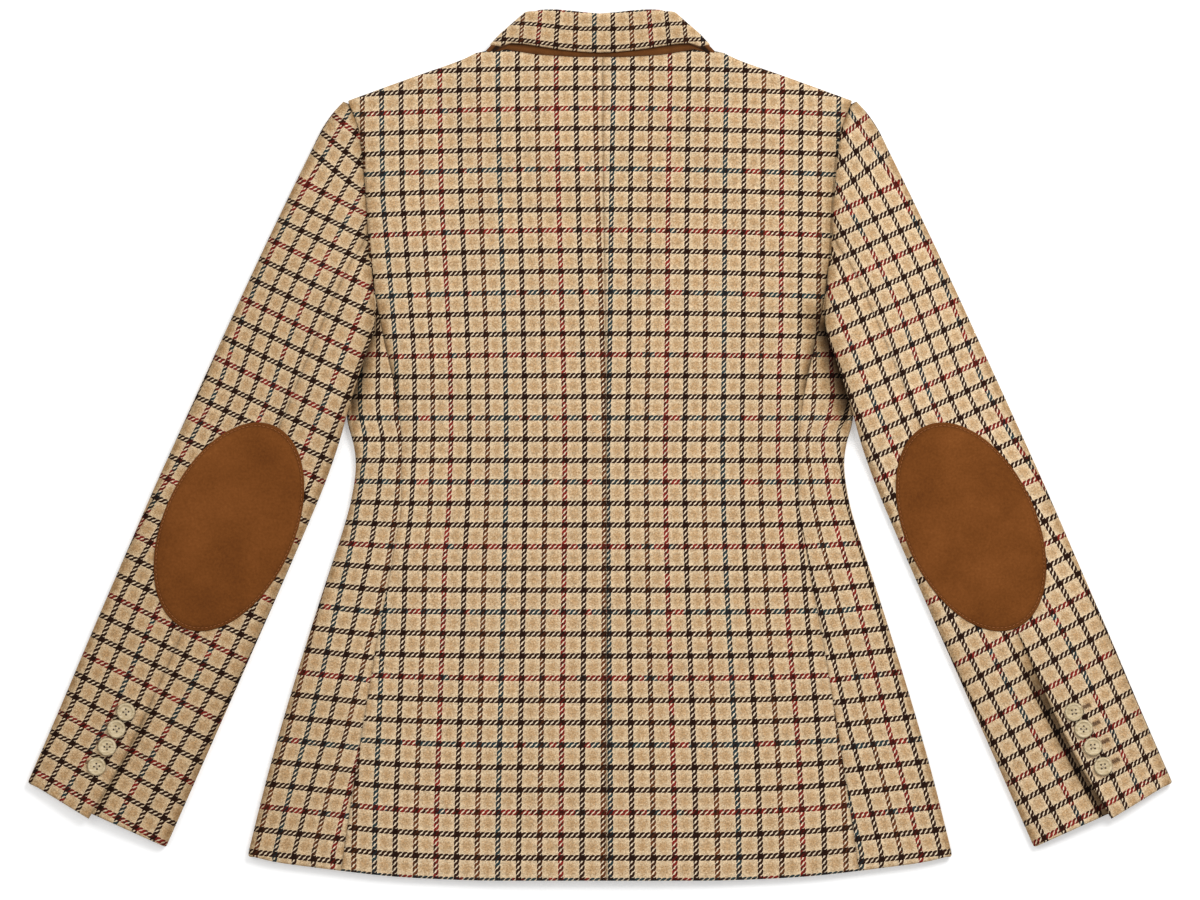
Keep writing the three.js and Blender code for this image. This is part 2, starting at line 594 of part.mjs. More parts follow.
// Points of one collar station: the fall from its free edge, the roll and the stand.
function collarStation(station, mirror, { level, radius, turn, extra, inset, stand }) {
  const roll = new THREE.Vector3(station.rollX, station.rollY, 0);
  const edge = new THREE.Vector3(station.edgeX, station.edgeY, 0);
  const down = edge.clone().sub(roll).normalize();
  const around = new THREE.Vector3(-down.y, down.x, 0);
  const angle = THREE.MathUtils.degToRad(station.turn);
  const up = new THREE.Vector3(0, 0, Math.cos(angle)).addScaledVector(around, Math.sin(angle));
  const place = (along, height) => {
    const point = roll.clone().setZ(WRAP_RADIUS);
    point.addScaledVector(down, along).addScaledVector(up, height - WRAP_RADIUS);
    return new THREE.Vector3(point.x * mirror, point.y, point.z);
  };
  const width = edge.distanceTo(roll) + extra;
  const fall = steps(4).map((t) => place(THREE.MathUtils.lerp(width, inset, t), level));
  const curl = steps(4).slice(1).map((t) => (
    place(inset - radius * Math.sin(turn * t), level - radius * (1 - Math.cos(turn * t)))));
  const foot = (t) => place(THREE.MathUtils.lerp(inset, stand, t), level - 2 * radius);
  const standing = stand ? steps(3).slice(1).map(foot) : [];
  return [...fall, ...curl, ...standing];
}

// Band of collar stations: its inner side is the same band, less its thickness.
function collarBand(stations, thickness, shape) {
  const half = (mirror, inward) => stations.map((station) => {
    const outer = shape(station);
    const layer = { ...outer, level: outer.level - inward, radius: outer.radius - inward };
    return collarStation(station, mirror, layer);
  });
  const both = (inward) => [...half(-1, inward).reverse(), ...half(1, inward).slice(1)];
  return wall(both(0), both(thickness));
}

const collar = () => collarBand(COLLAR, TWEED, () => ({
  level: COLLAR_HEIGHT, radius: ROLL_RADIUS, turn: ROLL_TURN, extra: 0, inset: 0, stand: 0,
}));

const underCollar = () => collarBand(COLLAR.filter(({ stand }) => stand), FELT, ({ felt, inset, stand }) => ({
  level: COLLAR_HEIGHT - TWEED - SEAM,
  radius: FELT_ROLL,
  turn: Math.PI,
  extra: felt,
  inset,
  stand,
}));

// Oval patch that lies on the sleeve, as rings of points moved out from its surface.
function elbowPatch(side) {
  const rings = [0.34, 0.68, 1];
  const sectors = 28;
  const layers = [PATCH_GAP + SUEDE, PATCH_GAP];
  const positions = [];
  const put = (along, across, lift) => {
    const point = onSleeve(side, along, across, sleeveTop(along, across) + lift);
    positions.push(point.x, point.y, point.z);
  };
  for (const lift of layers) {
    put(PATCH.along, PATCH.across, lift);
    for (const ring of rings) {
      for (let i = 0; i < sectors; i += 1) {
        const angle = (2 * Math.PI * i) / sectors;
        const along = PATCH.length * ring * Math.cos(angle);
        const across = PATCH.width * ring * Math.sin(angle);
        put(PATCH.along + along, PATCH.across + across, lift);
      }
    }
  }
  const layerSize = 1 + rings.length * sectors;
  const id = (layer, ring, i) => layer * layerSize + 1 + ring * sectors + (i % sectors);
  const faces = [];
  for (let i = 0; i < sectors; i += 1) {
    faces.push(0, id(0, 0, i), id(0, 0, i + 1));
    faces.push(layerSize, id(1, 0, i + 1), id(1, 0, i));
    for (let ring = 0; ring + 1 < rings.length; ring += 1) {
      faces.push(id(0, ring, i), id(0, ring + 1, i), id(0, ring + 1, i + 1));
      faces.push(id(0, ring, i), id(0, ring + 1, i + 1), id(0, ring, i + 1));
      faces.push(id(1, ring + 1, i), id(1, ring, i), id(1, ring + 1, i + 1));
      faces.push(id(1, ring + 1, i + 1), id(1, ring, i), id(1, ring, i + 1));
    }
    const rim = rings.length - 1;
    faces.push(id(0, rim, i), id(1, rim, i), id(1, rim, i + 1));
    faces.push(id(0, rim, i), id(1, rim, i + 1), id(0, rim, i + 1));
  }
  return solid(positions, faces);
}

// Button on its back, with a raised rim round a shallow dish.
function button(size) {
  const radius = size.diameter / 2;
  const profile = [
    [0, 0], [radius * 0.8, 0], [radius, size.height * 0.45], [radius * 0.9, size.height],
    [radius * 0.66, size.height * 0.76], [0, size.height * 0.7],
  ].map(([r, z]) => new THREE.Vector2(r, z));
  const geometry = new THREE.LatheGeometry(profile, 16);
  geometry.rotateX(Math.PI / 2);
  return geometry;
}

const material = (color, roughness) => new THREE.MeshStandardMaterial({ color, roughness, metalness: 0 });
const TWEED_CLOTH = material(0xc0a277, 0.9);
const BROWN_FELT = material(0x5c3413, 0.95);
const BROWN_SUEDE = material(0x784619, 0.92);
const BUTTON_HORN = material(0xc9b58c, 0.4);

const blazer = new THREE.Group();
function add(name, geometry, finish) {
  const mesh = new THREE.Mesh(geometry, finish);
  mesh.name = name;
  blazer.add(mesh);
  return mesh;
}

for (const [side, word] of [[-1, 'left'], [1, 'right']]) {
  add(`back_${word}`, backPanel(side), TWEED_CLOTH);
  add(`side_${word}`, sidePanel(side), TWEED_CLOTH);
  add(`front_${word}`, frontPanel(side), TWEED_CLOTH);
  add(`lapel_${word}`, lapel(side), TWEED_CLOTH);
  add(`top_sleeve_${word}`, topSleeve(side), TWEED_CLOTH);
  add(`under_sleeve_${word}`, underSleeve(side), TWEED_CLOTH);
  add(`elbow_patch_${word}`, elbowPatch(side), BROWN_SUEDE);
  SLEEVE_BUTTONS.forEach(({ along, across }, i) => {
    const piece = add(`sleeve_button_${word}_${i + 1}`, button(SLEEVE_BUTTON), BUTTON_HORN);
    const radius = SLEEVE_BUTTON.diameter / 2;
    const under = [-radius, 0, radius].map((step) => sleeveTop(along, across + step));
    piece.position.copy(onSleeve(side, along, across, Math.max(...under) + SEAM));
  });
}
add('collar', collar(), TWEED_CLOTH);
add('under_collar', underCollar(), BROWN_FELT);
FRONT_BUTTONS.forEach(({ y }, i) => {
  const piece = add(`front_button_${i + 1}`, button(FRONT_BUTTON), BUTTON_HORN);
  piece.position.set(0, y, FRONT_BUTTON.height);
  piece.rotation.x = Math.PI;
});

// The origin is at the bottom centre of the whole blazer.
blazer.updateMatrixWorld(true);
const box = new THREE.Box3().setFromObject(blazer, true);
const centre = box.getCenter(new THREE.Vector3());
blazer.position.set(-centre.x, -centre.y, -box.min.z);

export default blazer;
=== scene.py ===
import math
import random

import bpy
import numpy as np
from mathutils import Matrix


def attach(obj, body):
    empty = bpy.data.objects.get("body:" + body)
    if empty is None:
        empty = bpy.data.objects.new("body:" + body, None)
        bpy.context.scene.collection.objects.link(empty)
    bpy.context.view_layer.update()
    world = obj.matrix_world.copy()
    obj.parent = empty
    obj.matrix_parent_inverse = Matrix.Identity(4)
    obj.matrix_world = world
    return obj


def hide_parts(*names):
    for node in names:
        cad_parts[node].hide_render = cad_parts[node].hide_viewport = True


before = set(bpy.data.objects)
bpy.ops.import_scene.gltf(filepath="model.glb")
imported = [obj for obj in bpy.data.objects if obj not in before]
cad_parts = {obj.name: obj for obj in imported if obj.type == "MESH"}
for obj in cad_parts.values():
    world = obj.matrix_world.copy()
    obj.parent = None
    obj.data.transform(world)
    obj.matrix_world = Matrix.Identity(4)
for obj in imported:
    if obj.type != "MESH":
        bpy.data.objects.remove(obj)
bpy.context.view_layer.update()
random.seed(7)

MM = 0.001
WORD = {-1: "left", 1: "right"}

# -------- sizes, in millimetres
# Thickness of the tweed and of the felt under the collar, and yarns in a check, its line in the middle of 4.
CLOTH = 1.2
FELT = 1.2
YARNS = 16
LINE_MIDDLE = 2

# Body, lying flat: how high it lies, its length, and where the fronts lap and their lapels start.
BODY_HEIGHT = 9.2
LENGTH = 660
HEM_Y = -348
OVERLAP = 18
BREAK = (-OVERLAP, 20)
LAYER = 2.5
NECK_POINT = (99, 313)
PRINCESS_TOP = 126

# Shoulder: its end, and how high the middle of its roll is and how far the roll reaches.
SHOULDER = (204, 274)
SHOULDER_MIDDLE = 5.0
SHOULDER_REACH = 4.6

# Sleeve: its lean, its fold's radius below the tip and at it, how its top swells, and how far down the
# hindarm seam leaves the armhole, the underarm lies and the cuff ends.
LEAN = math.radians(24.5)
SLEEVE_FOLD = 4.6
TIP_FOLD = 2.4
SLEEVE_CROWN = 2.6
OVERHANG = 5.6
RIM = 2.5
SCYE_SEAM = 84
UNDERARM = 214
CUFF = 601
CUFF_DIP = 4.5
CUFF_LIFT = 5.5

# Collar: the height of its roll, and the middle of that height, which it turns about beside the neck.
COLLAR_HEIGHT = 16.3
WRAP = COLLAR_HEIGHT / 2


def rows(names, *values):
    names = names.split()
    return {name: np.array([row[i] for row in values], float) for i, name in enumerate(names)}


# Outlines of the body: x is from the middle of the back, y from the middle of the garment.
SIDE = rows("y x", (-326, 281), (-264, 265.5), (-204, 248.4), (-124, 223.5), (-95, 214), (-68, 205.2),
            (-44, 198.8), (-15, 195.2), (0, 196.8), (20, 202), (39, 203))
PRINCESS = rows("y x", (-341, 207), (-240, 192), (-192, 184), (-150, 177), (-107, 168.5), (-80, 164),
                (-45, 158.5), (0, 158.5), (40, 163), (88, 173.4), (124.9, 180.7))
HEM = rows("x y", (-20, -348), (80, -348), (135, -346.5), (173, -344), (200, -341), (228, -337.5),
           (260, -333), (281, -328))
BACK_NECK = rows("x y", (0, 310), (26, 310.6), (50, 312), (66, 314.2), (84, 315.4), (99, 313))
SHOULDER_LINE = rows("x y", (99, 313), (110, 308), (146, 295.2), (188, 280), (204, 274.2))
# Outlines of the sleeve: along it from the shoulder's end, and across it from there towards the body.
SCYE_TOP = ((0, 3.6), (5, 9.4), (17, 21), (30, 30.4), (45, 39), (61, 48), (80, 58), (106, 71.4), (126, 83))
OUTER_EDGE = rows("along across", (0, -1.2), (12, -5), (25, -7.4), (45, -8.2), (90, -9.5), (140, -10.4),
                  (330, -10.8), (400, -9.6), (470, -8.2), (540, -6.2), (606, -5))
INNER_EDGE = rows("along across", *SCYE_TOP, (141, 91), (156, 97), (180, 99.5), (217, 104), (250, 109),
                  (284, 112), (330, 113.5), (430, 115), (606, 117))
ARMHOLE = rows("along across", *SCYE_TOP, (141, 86), (156, 89), (180, 93), (199, 96.5), (214, 99.5))
HINDARM = rows("along across", (84, 60.2), (98, 60.4), (112, 58), (150, 57.2), (213, 58.6), (250, 60),
               (430, 58.3), (550, 57), (606, 51))
FOREARM = rows("along across", (214, 97.5), (226, 94), (245, 88), (290, 86), (606, 91))
# How far the inner edge turns under, the length of the arc it turns on, and the strip past it.
TURN_UNDER = rows("along turn arc strip", (88, 0, 0.5, 0.3), (98, 0, 1.6, 0.8), (112, 0, 2, 0.8),
                  (126, 90, 3.93, 0.8), (142, 180, 7.85, 1.2), (224, 180, 7.85, 3), (272, 180, 14.45, 20),
                  (606, 180, 14.45, 20))
SLEEVE_BUTTONS = rows("along across", (515.4, 43.4), (530.9, 42), (546.9, 41.2), (564.6, 40.2))
FRONT_BUTTON_Y = (-14, -104)
LAPEL_EDGE = rows("x y", (4, 71), (34, 92), (76, 146), (116, 206))
GORGE = (70.5, 236)
PATCH = dict(along=347, across=56.8, length=88.5, width=52.4)
STITCHED_IN = 1.7


# -------- curves
def smooth(value, low, high):
    """0 up to low, 1 from high on, and an even curve between."""
    t = np.clip((value - low) / (high - low), 0, 1)
    return t * t * (3 - 2 * t)


def points(*columns):
    """Points, or pairs of numbers, from their columns."""
    return np.stack(columns, -1)


def beside(distance):
    """1 at a line, and fading out within about twice the unit of distance."""
    return np.exp(-distance ** 2)


def lookup(table, at, column=None):
    """Smooth curve through a table's first column and another, the second by default; flat past its ends."""
    key, second = list(table)[:2]
    k, c = table[key], table[column or second]
    at = np.asarray(at, float)
    slope = np.diff(c) / np.diff(k)
    knot = np.zeros(len(k))
    one_way = slope[:-1] * slope[1:] > 0
    knot[1:-1] = np.where(one_way, (slope[:-1] + slope[1:]) / 2, 0)
    knot[0], knot[-1] = slope[0], slope[-1]
    i = np.clip(np.searchsorted(k, at, side="right") - 1, 0, len(k) - 2)
    span = k[i + 1] - k[i]
    t = np.clip((at - k[i]) / span, 0, 1)
    rise = c[i + 1] - c[i]
    bend = (knot[i] * (1 - t) - knot[i + 1] * t) * span + rise * (2 * t - 1)
    return c[i] + rise * t + t * (1 - t) * bend


def straight(table, at, column):
    """Straight lines through a table's first column and another."""
    return np.interp(at, table[list(table)[0]], table[column])


def along_points(route, share):
    """Point at a share of the length of a route."""
    x, y = np.asarray(route, float).T
    length = np.hstack([0, np.cumsum(np.hypot(np.diff(x), np.diff(y)))])
    at = np.asarray(share) * length[-1]
    return points(np.interp(at, length, x), np.interp(at, length, y))


def shares(length, step, edge=(0.5, 1.1, 1.9, 3.0, 5.0)):
    """Shares of a length, closer together next to both ends."""
    edge = [e for e in edge if e < length / 3]
    inner = edge[-1] if edge else 0
    count = max(2, int(round((length - 2 * inner) / step)))
    middle = np.linspace(inner, length - inner, count + 1)
    ends = np.array([0, *edge[:-1]]) if edge else np.array([])
    return np.hstack([ends, middle, length - ends[::-1]]) / length


def coons(left, right, bottom, top, us, vs):
    """Plan of a four-sided panel; each side is a route, or a function of a share."""
    at = lambda part, share: part(share) if callable(part) else along_points(part, share)
    u, v = us[None, :, None], vs[:, None, None]
    l, r = at(left, vs)[:, None, :], at(right, vs)[:, None, :]
    b, t = at(bottom, us)[None], at(top, us)[None]
    corners = ((1 - u) * (1 - v) * b[:, :1] + u * (1 - v) * b[:, -1:]
               + (1 - u) * v * t[:, :1] + u * v * t[:, -1:])
    return (1 - u) * l + u * r + (1 - v) * b + v * t - corners


def sleeve_plan(along, across):
    """Plan of a place on the right sleeve."""
    down, out = math.cos(LEAN), math.sin(LEAN)
    x = SHOULDER[0] + along * out - across * down
    return points(x, SHOULDER[1] - along * down - across * out)


def unit(v):
    """Vectors of length 1."""
    return v / np.maximum(np.linalg.norm(v, axis=-1, keepdims=True), 1e-9)


def normals(grid):
    """Unit normal at each point of a grid, columns crossed with rows."""
    return unit(np.cross(np.gradient(grid, axis=1), np.gradient(grid, axis=0)))


def noise(x, y, size, seed):
    """Smooth value noise, about -1 to 1."""
    rng = np.random.default_rng(seed)
    table = rng.uniform(-1, 1, (64, 64))
    fx, fy = x / size + 31.7, y / size + 17.3
    ix, iy = np.floor(fx).astype(int), np.floor(fy).astype(int)
    tx, ty = fx - ix, fy - iy
    tx, ty = tx * tx * (3 - 2 * tx), ty * ty * (3 - 2 * ty)
    at = lambda a, b: table[a % 64, b % 64]
    low = at(ix, iy) * (1 - tx) + at(ix + 1, iy) * tx
    high = at(ix, iy + 1) * (1 - tx) + at(ix + 1, iy + 1) * tx
    return low * (1 - ty) + high * ty


# -------- forms
def centre_back(y):
    """The centre back seam wanders a little from the middle."""
    return 2.2 + 3.0 * smooth(-y, -280, -10)


def body_top(x, y):
    """Height of the back, fuller down the middle and at the neck."""
    x = np.abs(x)
    centre = 1.6 * (1 - smooth(x, 40, 130))
    neck = 2.8 * smooth(y, 230, 305) * (1 - smooth(x, 99, 150))
    return BODY_HEIGHT + np.maximum(centre, neck)


def relief(x, y):
    """Soft unevenness of the cloth that lies on top."""
    return 0.55 * noise(x, y, 95, 3) + 0.3 * noise(x, y, 48, 5) + 0.12 * noise(x, y, 21, 9)


def fold_radius(along):
    """Radius of the fold at the sleeve's outer edge."""
    return TIP_FOLD + (SLEEVE_FOLD - TIP_FOLD) * smooth(along, 0, 12)


def sleeve_top(along, across):
    """Height of the sleeve: crowned across, and raised where it lies on the body."""
    outer = lookup(OUTER_EDGE, along)
    inner = lookup(INNER_EDGE, along)
    start = outer + fold_radius(along)
    end = np.maximum(inner - RIM, start + 1)
    share = np.clip((across - start) / (end - start), 0, 1)
    crown = SLEEVE_CROWN * 4 * share * (1 - share) * smooth(along, 30, 140)
    raised = smooth(along, 100, 127) * (1 - smooth(along, 226, 285))
    return SLEEVE_FOLD + fold_radius(along) + crown + OVERHANG * raised * smooth(share, 0.4, 1)


def on_sleeve(side, along, across, z):
    """Point of a sleeve in space."""
    plan = sleeve_plan(along, across)
    return points(plan[..., 0] * side, plan[..., 1], z + 0 * along)


# -------- check, in yarns
# Height of the back's first weft line, the check below it, and what each check adds to the next.
FIRST_WEFT, WEFT_PITCH, WEFT_GROWTH = 268.8, 16.02, 0.0309
# How far the shaping at the waist has drawn the warp lines of the back in, 149 and 156 mm out.
DRAWN = rows("y left right", (-348, 2, 0), (-228, 2, 0), (-180, 1.6, 0.3), (-132, 1.6, 0.6), (-92, 0.6, 0.8),
             (-52, 3.8, 2.2), (-20, 5, 3.2), (12, 6.3, 3.4), (64, 6.3, 2.5), (92, 5.3, 0.6), (196, 0, 0),
             (320, 0, 0))


def body_check(x, y):
    """Warp and weft yarn numbers on the back, from signed x and y."""
    d = x - centre_back(y)
    left = straight(DRAWN, y, "left") * np.clip((-d - 65) / 84, 0, 1.6) ** 1.3
    right = straight(DRAWN, y, "right") * np.clip((d - 100) / 56, 0, 1.6) ** 1.5
    d = d + right - left
    down = np.clip((285 - y) / 285, 0, 1)
    low = smooth(-y, 0, 348)
    left_start, left_pitch = 6.2 - 4.5 * down + 1.1 * low, 15.5 + 0.3 * down + 1.1 * low
    right_start, right_pitch = 8.6 - 7.7 * down + 2.3 * low, 15.0 + 0.3 * down + 1.8 * low
    n = np.where(d < 0, -1 + (d + left_start) / left_pitch, (d - right_start) / right_pitch)
    rise = (lookup(HEM, np.abs(x)) - HEM_Y) * smooth(-y, 20, 340)
    drop = 4.8 * (np.abs(x) / 190) ** 2 * smooth(y, 0, 150)
    level = y + drop - 0.9 * rise
    root = np.sqrt(np.maximum(WEFT_PITCH ** 2 + 4 * WEFT_GROWTH * (FIRST_WEFT - level), 1))
    m = (root - WEFT_PITCH) / (2 * WEFT_GROWTH)
    return YARNS * n + LINE_MIDDLE, LINE_MIDDLE - YARNS * m


# How far in from the edge the side panel's first warp line runs, and how wide a check is.
SIDE_GRAIN = {
    -1: rows("y first pitch", (-345, 21, 15.5), (-276, 21.5, 15.5), (-228, 22.1, 15.5), (-180, 19.8, 15.5),
             (-132, 15.3, 16.4), (-92, 11.8, 16), (-52, 6.3, 15.4), (-20, 5.5, 14.3), (12, 11.8, 13.8),
             (40, 11, 14.3), (68, 12, 13.7), (126, 12, 13.7)),
    1: rows("y first pitch", (-345, 8.9, 15.8), (-276, 8.9, 15.8), (-228, 8.8, 15.9), (-180, 6.8, 15.3),
            (-132, 3.9, 15.3), (-92, 1.6, 15.3), (-52, 1.5, 13.8), (-20, 1.5, 13), (12, 9.7, 11.9),
            (40, 2.3, 14.8), (68, 5.6, 13), (126, 5.6, 13)),
}


SIDE_FIRST_YARN = {-1: 2, 1: -66}


def side_check(x, y):
    """Warp and weft yarn numbers on a side panel."""
    side = 1 if np.mean(x) > 0 else -1
    grain = SIDE_GRAIN[side]
    edge = lookup(SIDE, y)
    first, pitch = straight(grain, y, "first"), straight(grain, y, "pitch")
    rise = 0.11 * smooth(-y, 0, 140) * (np.abs(x) - edge + 45)
    _, weft = body_check(0 * x, y - rise)
    warp = YARNS * (edge - np.abs(x) - first) / pitch + SIDE_FIRST_YARN[side]
    return np.where(x > 0, -warp, warp), weft


SLEEVE_CHECK = 17.3
# Where the sleeve's teal warp line runs and how wide a check is, down the sleeve.
TOP_GRAIN = {
    -1: rows("along line pitch", (0, 46, 13), (60, 42.5, 13.7), (100, 39.3, 13.8), (150, 37, 13.6),
             (200, 38.8, 13.6), (250, 43.2, 13.6), (300, 42, 14), (440, 32.6, 15.7), (525, 33, 15.7),
             (575, 27.6, 15.2), (606, 25.5, 15)),
    1: rows("along line pitch", (0, 47, 13), (75, 40, 14), (150, 36.8, 13.7), (225, 42.4, 14.4),
            (250, 43.8, 14.5), (450, 25.4, 16.8), (525, 22.3, 15.2), (606, 22, 15)),
}
UNDER_GRAIN = {
    -1: rows("along line pitch", (100, 81, 15.4), (175, 82.4, 15.4), (225, 85, 15), (300, 86, 15.5),
             (450, 83.8, 16), (525, 78, 16), (575, 73.8, 16.2), (606, 72, 16.2)),
    1: rows("along line pitch", (100, 82.5, 15.8), (150, 83, 15.8), (225, 86.3, 15.8), (300, 87, 16),
            (450, 83.8, 16.2), (525, 79, 16), (575, 75.8, 16), (606, 74, 16)),
}


def sleeve_check(grain, side, along, across):
    """Warp and weft yarn numbers on a piece of a sleeve."""
    table = grain[side]
    line = lookup(table, along, "line")
    pitch = lookup(table, along, "pitch")
    slope = 0.02 + 0.06 * smooth(along, 450, 600) if side < 0 else 0.075 * smooth(along, 330, 450)
    cap = 0.24 * (1 - smooth(along, 52, 76)) * (29 - across)
    weft = (along + cap - slope * (across - 50) - 74.2) / SLEEVE_CHECK
    return LINE_MIDDLE - side * YARNS * (across - line) / pitch, LINE_MIDDLE - YARNS * weft


# -------- meshes
def mesh_piece(name, verts, faces, uvs, flat_from=None, layers=None):
    """Object from points in millimetres; faces from flat_from on are shaded flat."""
    mesh = bpy.data.meshes.new(name)
    mesh.from_pydata((np.asarray(verts) * MM).tolist(), [], faces)
    loops = np.empty(len(mesh.loops), np.int32)
    mesh.loops.foreach_get("vertex_index", loops)
    for layer, values in {"grain": uvs, **(layers or {})}.items():
        data = mesh.uv_layers.new(name=layer)
        data.data.foreach_set("uv", np.asarray(values, np.float32)[loops].ravel())
    smoothness = np.ones(len(mesh.polygons), bool)
    if flat_from is not None:
        smoothness[flat_from:] = False
    mesh.polygons.foreach_set("use_smooth", smoothness)
    mesh.update()
    obj = bpy.data.objects.new(name, mesh)
    bpy.context.scene.collection.objects.link(obj)
    return obj


def edge_distances(grid):
    """Distance of each point from the first row, last row, first column and last column."""
    step = np.linalg.norm(np.diff(grid, axis=0), axis=-1)
    down = np.vstack([np.zeros(grid.shape[1]), np.cumsum(step, 0)])
    step = np.linalg.norm(np.diff(grid, axis=1), axis=-1)
    over = np.hstack([np.zeros((grid.shape[0], 1)), np.cumsum(step, 1)])
    return down, down[-1:] - down, over, over[:, -1:] - over


def finish_edges(grid, normal, kinds):
    """Sinks seams and rounds free edges, and returns painted shade beside them; kinds are first row, last row,
    first column, last column.
    """
    sink, drop, edge_shade = np.zeros((3,) + grid.shape[:2])
    for distance, kind in zip(edge_distances(grid), kinds):
        # The darkening found here is painted shade in the sunk seams and on the rolled edges.
        if kind == "seam":
            drop = np.maximum(drop, 0.75 * beside(distance / 1.5) + 0.16 * beside((distance - 2) / 3))
            edge_shade = np.maximum(edge_shade, beside(distance / 1.1))
        if kind == "fold":
            reach = np.clip(1 - distance / 1.8, 0, 1)
            sink = np.maximum(sink, 1.3 * (1 - np.sqrt(np.maximum(1 - reach ** 2, 0))))
            edge_shade = np.maximum(edge_shade, 0.6 * beside(distance))
    grid = grid - normal * np.where(sink > drop, sink, 0)[..., None]
    grid[..., 2] -= np.clip(2 * normal[..., 2], -1, 1) * np.where(sink > drop, 0, drop)
    return grid, edge_shade


def painted_light_falloff(x, y):
    """How much painted shade the light's falloff puts on the cloth: most at the left sleeve's cuff, least high
    on the right sleeve.
    """
    left = 0.10 * smooth(-x, 130, 260) + 0.05 * smooth(-x, 200, 330) * (1 - smooth(y, -100, 50))
    return 0.085 + left - 0.085 * smooth(x, 150, 260) * smooth(y, -220, 0)


def cloth(name, grid, uv, thickness, outward, kinds, shade=0.0):
    """Thin closed shell. outward is +1 where columns crossed with rows point out of the garment.
    shade is the painted shade of each point, for how deep it lies in a fold or beside an edge."""
    normal = normals(grid) * outward
    grid, edge_shade = finish_edges(grid, normal, kinds)
    inner = grid - normals(grid) * outward * thickness
    grid[..., 2] = np.maximum(grid[..., 2], 0)
    inner[..., 2] = np.maximum(inner[..., 2], 0.05)
    r, c = grid.shape[:2]
    verts = np.vstack([grid.reshape(-1, 3), inner.reshape(-1, 3)])
    index = np.arange(r * c).reshape(r, c)
    a, b = index[:-1, :-1].ravel(), index[:-1, 1:].ravel()
    d, e = index[1:, 1:].ravel(), index[1:, :-1].ravel()
    under = r * c
    top = points(a, b, d, e)
    low = top[:, ::-1] + under
    ring = np.hstack([index[0], index[1:, -1], index[-1, -2::-1], index[-2:0:-1, 0]])
    after = np.roll(ring, -1)
    rim = points(ring + under, after + under, after, ring)
    faces = np.vstack([top, low, rim])
    if outward < 0:
        faces = faces[:, ::-1]
    uvs = np.vstack([uv.reshape(-1, 2)] * 2)
    # The second channel is painted shade: the piece's own painted shade with the painted falloff of the light.
    painted_shade = points(edge_shade, 1 - (1 - shade) * (1 - painted_light_falloff(grid[..., 0], grid[..., 1]))).reshape(-1, 2)
    painted_shade = np.vstack([painted_shade, painted_shade])
    return mesh_piece(name, verts, faces.tolist(), uvs, flat_from=2 * len(a), layers={"painted_shade": painted_shade})


# -------- body panels
NECK_SHARE = 0.485
CLOSE_ROWS = (0.5, 1.1, 1.9, 3.0, 4.6, 6.5)
HEMMED = ("fold", "seam", "seam", "seam")


def outer_edge():
    """Outer edge of the back or front, from the hem up the princess seam and round the armhole."""
    y = np.linspace(lookup(HEM, PRINCESS["x"][0]), PRINCESS["y"][-1], 140)[:-1]
    princess = points(lookup(PRINCESS, y), y)
    along = np.linspace(PRINCESS_TOP, 0, 60)
    return np.vstack([princess, sleeve_plan(along, lookup(ARMHOLE, along))])


def hem_between(start, end):
    """Plan of the hem between two distances from the middle, by share."""
    def at(u):
        x = start + (end - start) * u
        return points(x, lookup(HEM, np.maximum(x, 0)))
    return at


def shoulder_seam(edge):
    """Shoulder seam from the neck to the top of the outer edge."""
    fine = np.linspace(NECK_POINT[0], SHOULDER[0], 40)
    line = points(fine, lookup(SHOULDER_LINE, fine))
    line[-1] = edge[-1]
    return line


def shoulder_roll(z, vs, on, middle):
    """Rounds the cloth over the shoulder line, at the last of the rows vs."""
    distance = ((1 - vs) * LENGTH)[:, None] + 0 * z
    reach = np.clip(1 - distance / SHOULDER_REACH, 0, 1)
    drop = (z - middle) * (1 - np.sqrt(np.maximum(1 - reach ** 2, 0)))
    return z - drop * on


def centre_line(side):
    """Plan of the centre back seam, by share of its height."""
    top = BACK_NECK["y"][0]

    def at(v):
        y = HEM_Y + (top - HEM_Y) * v
        return points(centre_back(y) * side, y)
    return at


def back_panel(side):
    """Half of the back, from the centre seam to the princess seam and the armhole."""
    edge, centre = outer_edge(), centre_line(side)
    fine = np.linspace(0, NECK_POINT[0], 40)
    neck = points(fine, lookup(BACK_NECK, fine))
    neck[:, 0] += centre(1)[0] * (1 - fine / NECK_POINT[0])
    shoulder = shoulder_seam(edge)
    us = np.sort(np.append(shares(SHOULDER[0], 4.0), NECK_SHARE))
    vs = shares(LENGTH, 4.0, CLOSE_ROWS)
    top = lambda u: np.where((u <= NECK_SHARE)[:, None], along_points(neck, np.minimum(u / NECK_SHARE, 1)),
                             along_points(shoulder, np.clip((u - NECK_SHARE) / (1 - NECK_SHARE), 0, 1)))
    plan = coons(centre, edge, hem_between(centre(0)[0], edge[0, 0]), top, us, vs)
    x, y = plan[..., 0], plan[..., 1]
    z = body_top(x, y) + relief(x * side, y) * smooth(y, -348, -330)
    z = shoulder_roll(z, vs, smooth(x, 95, 111), SHOULDER_MIDDLE)
    grid = points(x * side, y, z)
    uv = points(*body_check(x * side, y))
    # Painted shade beside the armhole seam, deepest low down, and the painted shadow of the sleeve.
    deep, wide = (0.3, 6) if side < 0 else (0.4, 8)
    deep = (deep + 0.5 * (1 - smooth(y, 90, 170))) * smooth(y, 0, 60)
    shade = np.maximum(deep * beside((1 - us) * SHOULDER[0] / wide), painted_sleeve_shadow(side, x, y))
    return cloth(f"back_{WORD[side]}_cloth", grid, uv, CLOTH, side, HEMMED, shade)


